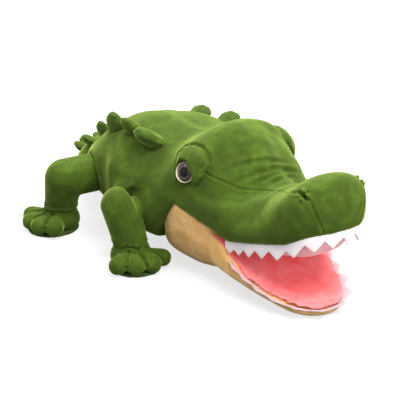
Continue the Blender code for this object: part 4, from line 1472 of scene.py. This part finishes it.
@dataclass
class Leg:
    """One stuffed leg with its foot in the same skin, gathered at the ankle, on a flat sole."""

    end: str
    side: Side
    voxel: float = 2.2 * MM
    swell: float = 0.5 * MM
    relax_rounds: int = 8
    firm_height: float = 12 * MM
    firmness: float = 0.25
    sole_voxel: float = 1.5 * MM
    sole_fill: float = 0.3
    ankle_z: float = 27 * MM
    ankle_radius: float = 21 * MM
    ankle_steps: int = 24
    pleats: int = 9
    root_dip: Push = Push((-20, 92, 98), (60, 26, 36), (0, 0, -12))
    toe_spread_deg: float = 32.0
    toe_reach: float = 0.050
    toe_count: int = 4
    toe_line: tuple[tuple[float, float], ...] = (
        (0.30, 27 * MM), (0.5, 24 * MM), (0.75, 20 * MM), (0.95, 12 * MM),
    )
    turn_deg: dict[str, float] = field(default_factory=lambda: {"front": 8.0, "rear": 88.0})
    front_seam_px: tuple[Pixel, ...] = ((121, 188), (125, 204), (131, 222), (136, 240), (139, 252))

    def build(self, frame: dict) -> None:
        """Makes the leg's skin and its sole.

        Args:
            frame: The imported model.
        """
        stem = f"{self.end}_{self.side.word}"
        body = stem + "_limb"
        skin = Skin(stem + "_leg_skin", [stem + "_leg", stem + "_foot"], self.voxel, self.swell)
        if self.end == "front":
            skin.push([self.root_dip])
        above = (skin.points[:, 2] - self.ankle_z) / self.firm_height
        skin.relax(self.relax_rounds, np.clip(above, self.firmness, 1.0))
        skin.refine()
        skin.lumps(Filling(0.03, 0.8 * MM, 4.0 + self.side.value))
        skin.press(self.gathers(frame, stem))
        if self.end == "front":
            skin.press(self.front_seam())
        skin.dress(GREEN, body)
        sole = Skin(stem + "_sole_skin", [stem + "_sole"], self.sole_voxel, 0.0)
        sole.relax(1)
        sole.dress(SOLE_GREEN, body)

    def front_seam(self) -> list[Crease]:
        """The seam down the front of a front leg.

        Returns:
            The seam on the right leg, which the photograph shows, and nothing on the left one.
        """
        seam = Crease(self.front_seam_px, width=1.1 * MM, depth=0.8 * MM, lips=0.5)
        return [seam] if self.side is Side.RIGHT else []

    def gathers(self, frame: dict, stem: str) -> list[Crease]:
        """The lines on the paw and the ankle.

        Args:
            frame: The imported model.
            stem: The leg's name, which starts those of its pieces and its mount.

        Returns:
            The stitches that part the toes, the ring of the drawn-in ankle and its pleats.
        """
        mounts = {mount["name"]: mount["pos_m"] for mount in frame["record"]["mounts"]}
        ankle = Vector(mounts[stem + "_rest"])
        heading = self.side.value * math.radians(self.turn_deg[self.end])
        creases = []
        for k in range(self.toe_count - 1):
            turn = heading + math.radians((k - (self.toe_count - 2) / 2) * self.toe_spread_deg)
            out = Vector((math.cos(turn), math.sin(turn), 0))
            line = tuple(
                ankle + out * self.toe_reach * share + Vector((0, 0, high)) for share, high in self.toe_line
            )
            creases.append(Crease(line=line, width=2.0 * MM, depth=2.6 * MM, lips=0.3, both_sides=False))
        return creases + self.ankle_folds(ankle)

    def ankle_folds(self, ankle: Vector) -> list[Crease]:
        """The gathered cloth of the ankle.

        Args:
            ankle: The point on the floor under it.

        Returns:
            The ring where the foot is drawn in, and the small pleats above it.
        """
        ring = []
        for k in range(self.ankle_steps + 1):
            turn = math.tau * k / self.ankle_steps
            sway = 1.5 * MM * math.sin(5 * turn + self.side.value)
            out = Vector((math.cos(turn), math.sin(turn), 0)) * self.ankle_radius
            ring.append(ankle + out + Vector((0, 0, self.ankle_z + 2 * MM + sway)))
        folds = [Crease(line=tuple(ring), width=1.8 * MM, depth=1.8 * MM, lips=0.5, both_sides=False)]
        pleat = Crease(width=1.5 * MM, depth=1.2 * MM, lips=0.4, mark=Mark.FOLD, both_sides=False)
        for k in range(self.pleats):
            turn = math.tau * (k + 0.3 * math.sin(7.0 * k)) / self.pleats
            out = Vector((math.cos(turn), math.sin(turn), 0)) * self.ankle_radius
            low, high = self.ankle_z + 3 * MM, self.ankle_z + (12 + 3 * math.sin(3.0 * k)) * MM
            line = (ankle + out + Vector((0, 0, low)), ankle + out * 1.05 + Vector((0, 0, high)))
            folds.append(replace(pleat, line=line))
        return folds


@dataclass
class Spines:
    """The stuffed leaves sewn along back and tail, each with the rim of its own seam."""

    voxel: float = 1.3 * MM
    swell: float = 0.4 * MM
    relax_rounds: int = 6
    left_height: float = 0.72
    left_widening: float = 0.30
    right_widening: float = 0.1
    plump: float = 0.8 * MM
    rim_height: float = 0.8 * MM
    rim_width: float = 0.9 * MM

    def build(self) -> None:
        """Makes every spine."""
        for part, body in (("back", "torso"), ("tail", "tail_end")):
            for node in spines_of(part):
                self.spine(node, body)

    def spine(self, node: str, body: str) -> None:
        """Makes one spine.

        Args:
            node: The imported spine.
            body: The body that it moves with.
        """
        skin = Skin(node + "_skin", [node], self.voxel, self.swell)
        skin.relax(self.relax_rounds)
        if "back" in node:
            skin.push([SHOULDER_SAG])
        points = skin.points
        low, high = points[:, 2].min(), points[:, 2].max()
        keep = self.left_height if "back_spine_left" in node else 1.0
        rise = ease(points[:, 2], low, high)
        middle = points.mean(0)
        widening = self.left_widening if "left" in node else self.right_widening
        points[:, 0] += (points[:, 0] - middle[0]) * widening * rise
        points[:, 2] = low + (points[:, 2] - low) * keep
        skin.points = points
        skin.puff(self.plump)
        skin.refine()
        points = skin.points
        centred = points - points.mean(0)
        thin = np.linalg.svd(centred, full_matrices=False)[2][2]
        aside = centred @ thin
        facing = np.abs(skin.normals @ thin)
        rim = np.exp(-((aside / self.rim_width) ** 2)) * np.clip(1 - facing, 0, 1)
        skin.puff(rim * self.rim_height)
        skin.dress(GREEN, body)


# Studio


@dataclass(frozen=True)
class Softbox:
    """A square lamp that faces the toy."""

    name: str
    place: tuple[float, float, float]
    size: float
    watts: float
    tint: str

    def hang(self) -> None:
        """Adds the lamp to the scene."""
        data = bpy.data.lights.new(self.name, "AREA")
        data.size = self.size
        data.energy = self.watts
        data.color = linear(self.tint)[:3]
        lamp = bpy.data.objects.new(self.name, data)
        facing = (Vector(VIEW.target) - Vector(self.place)).to_track_quat("-Z", "Y")
        lamp.matrix_world = Matrix.Translation(self.place) @ facing.to_matrix().to_4x4()
        bpy.context.collection.objects.link(lamp)


@dataclass
class Studio:
    """A pale floor, a white surround and soft lamps."""

    floor_half: float = 4.0
    floor_glow: float = 0.72
    whiten_from: float = 0.7
    whiten_to: float = 1.6
    world_strength: float = 0.47
    softboxes: tuple[Softbox, ...] = (
        Softbox("key_softbox", (0.85, -0.05, 1.5), 1.1, 41.0, "#fffaf2"),
        Softbox("side_softbox", (-0.60, -0.75, 1.25), 0.5, 7.0, "#fffdf8"),
        Softbox("fill_softbox", (1.7, 0.0, 0.7), 1.2, 10.0, "#ffffff"),
        Softbox("back_softbox", (-0.6, 0.6, 1.3), 1.0, 33.0, "#ffffff"),
    )

    def build(self) -> None:
        """Sets up floor, world, lamps and camera."""
        bpy.context.scene.view_settings.view_transform = "Standard"
        VIEW.make_camera()
        self.floor()
        self.world()
        for softbox in self.softboxes:
            softbox.hang()

    def floor(self) -> None:
        """A seamless white floor that keeps the toy's shadow.

        To the camera it is white paper. It throws back less light than that, as a floor seen past the
        edge of the lamps does, so that the toy stays darker underneath. Farther off it turns as white
        as the surround, so that no horizon shows.
        """
        form = bmesh.new()
        bmesh.ops.create_grid(form, x_segments=1, y_segments=1, size=self.floor_half)
        piece = new_piece("studio_floor", form)
        made, tree, surface = new_material("white_studio_paper")
        eye = add_node(tree, "LightPath")
        tone = add_node(
            tree,
            "Mix",
            {"data_type": "RGBA"},
            {0: eye.outputs["Is Camera Ray"], 6: linear("#848484"), 7: linear("#f2f2f2")},
        )
        paper = add_node(tree, "BsdfDiffuse", sockets={"Color": tone.outputs[2]})
        glow = add_node(tree, "Emission", sockets={"Color": linear("#ffffff"), "Strength": 1.0})
        place = add_node(tree, "TexCoord").outputs["Object"]
        away = add_node(tree, "VectorMath", {"operation": "LENGTH"}, {0: place})
        whiten = add_node(
            tree,
            "MapRange",
            sockets={
                "Value": away.outputs["Value"],
                "From Min": self.whiten_from,
                "From Max": self.whiten_to,
                "To Min": self.floor_glow,
                "To Max": 1.0,
            },
        )
        share = add_node(
            tree,
            "Math",
            {"operation": "MULTIPLY"},
            {0: eye.outputs["Is Camera Ray"], 1: whiten.outputs["Result"]},
        )
        mixed = add_node(
            tree, "MixShader", sockets={0: share.outputs[0], 1: paper.outputs[0], 2: glow.outputs[0]}
        )
        tree.links.new(mixed.outputs[0], surface)
        piece.data.materials.append(made)

    def world(self) -> None:
        """An even surround: white to the camera and in reflections, softer as a light."""
        world = bpy.data.worlds.new("studio")
        world.use_nodes = True
        tree = world.node_tree
        tree.nodes.clear()
        path = add_node(tree, "LightPath")
        seen = add_node(
            tree,
            "Math",
            {"operation": "MAXIMUM"},
            {0: path.outputs["Is Camera Ray"], 1: path.outputs["Is Glossy Ray"]},
        )
        strength = add_node(
            tree, "MapRange", sockets={"Value": seen.outputs[0], "To Min": self.world_strength, "To Max": 1.0}
        )
        sky = add_node(
            tree, "Background", sockets={"Color": linear("#ffffff"), "Strength": strength.outputs["Result"]}
        )
        output = add_node(tree, "OutputWorld", sockets={"Surface": sky.outputs[0]})
        output.is_active_output = True
        bpy.context.scene.world = world


def main() -> None:
    """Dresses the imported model, piece by piece."""
    logging.basicConfig(level=logging.INFO, format="%(name)s: %(message)s")
    noise.seed_set(NOISE_SEED)  # else the felt's curl follows the clock
    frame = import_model()
    Studio().build()
    UpperBody().build(frame)
    Underside().build(frame)
    chin = Chin()
    corner = chin.build(frame)
    Mouth().build(chin, corner, frame)
    for side in Side:
        Eye(side).build()
        for end in ("front", "rear"):
            Leg(end, side).build(frame)
    Spines().build()


if __name__ == "__main__":
    main()
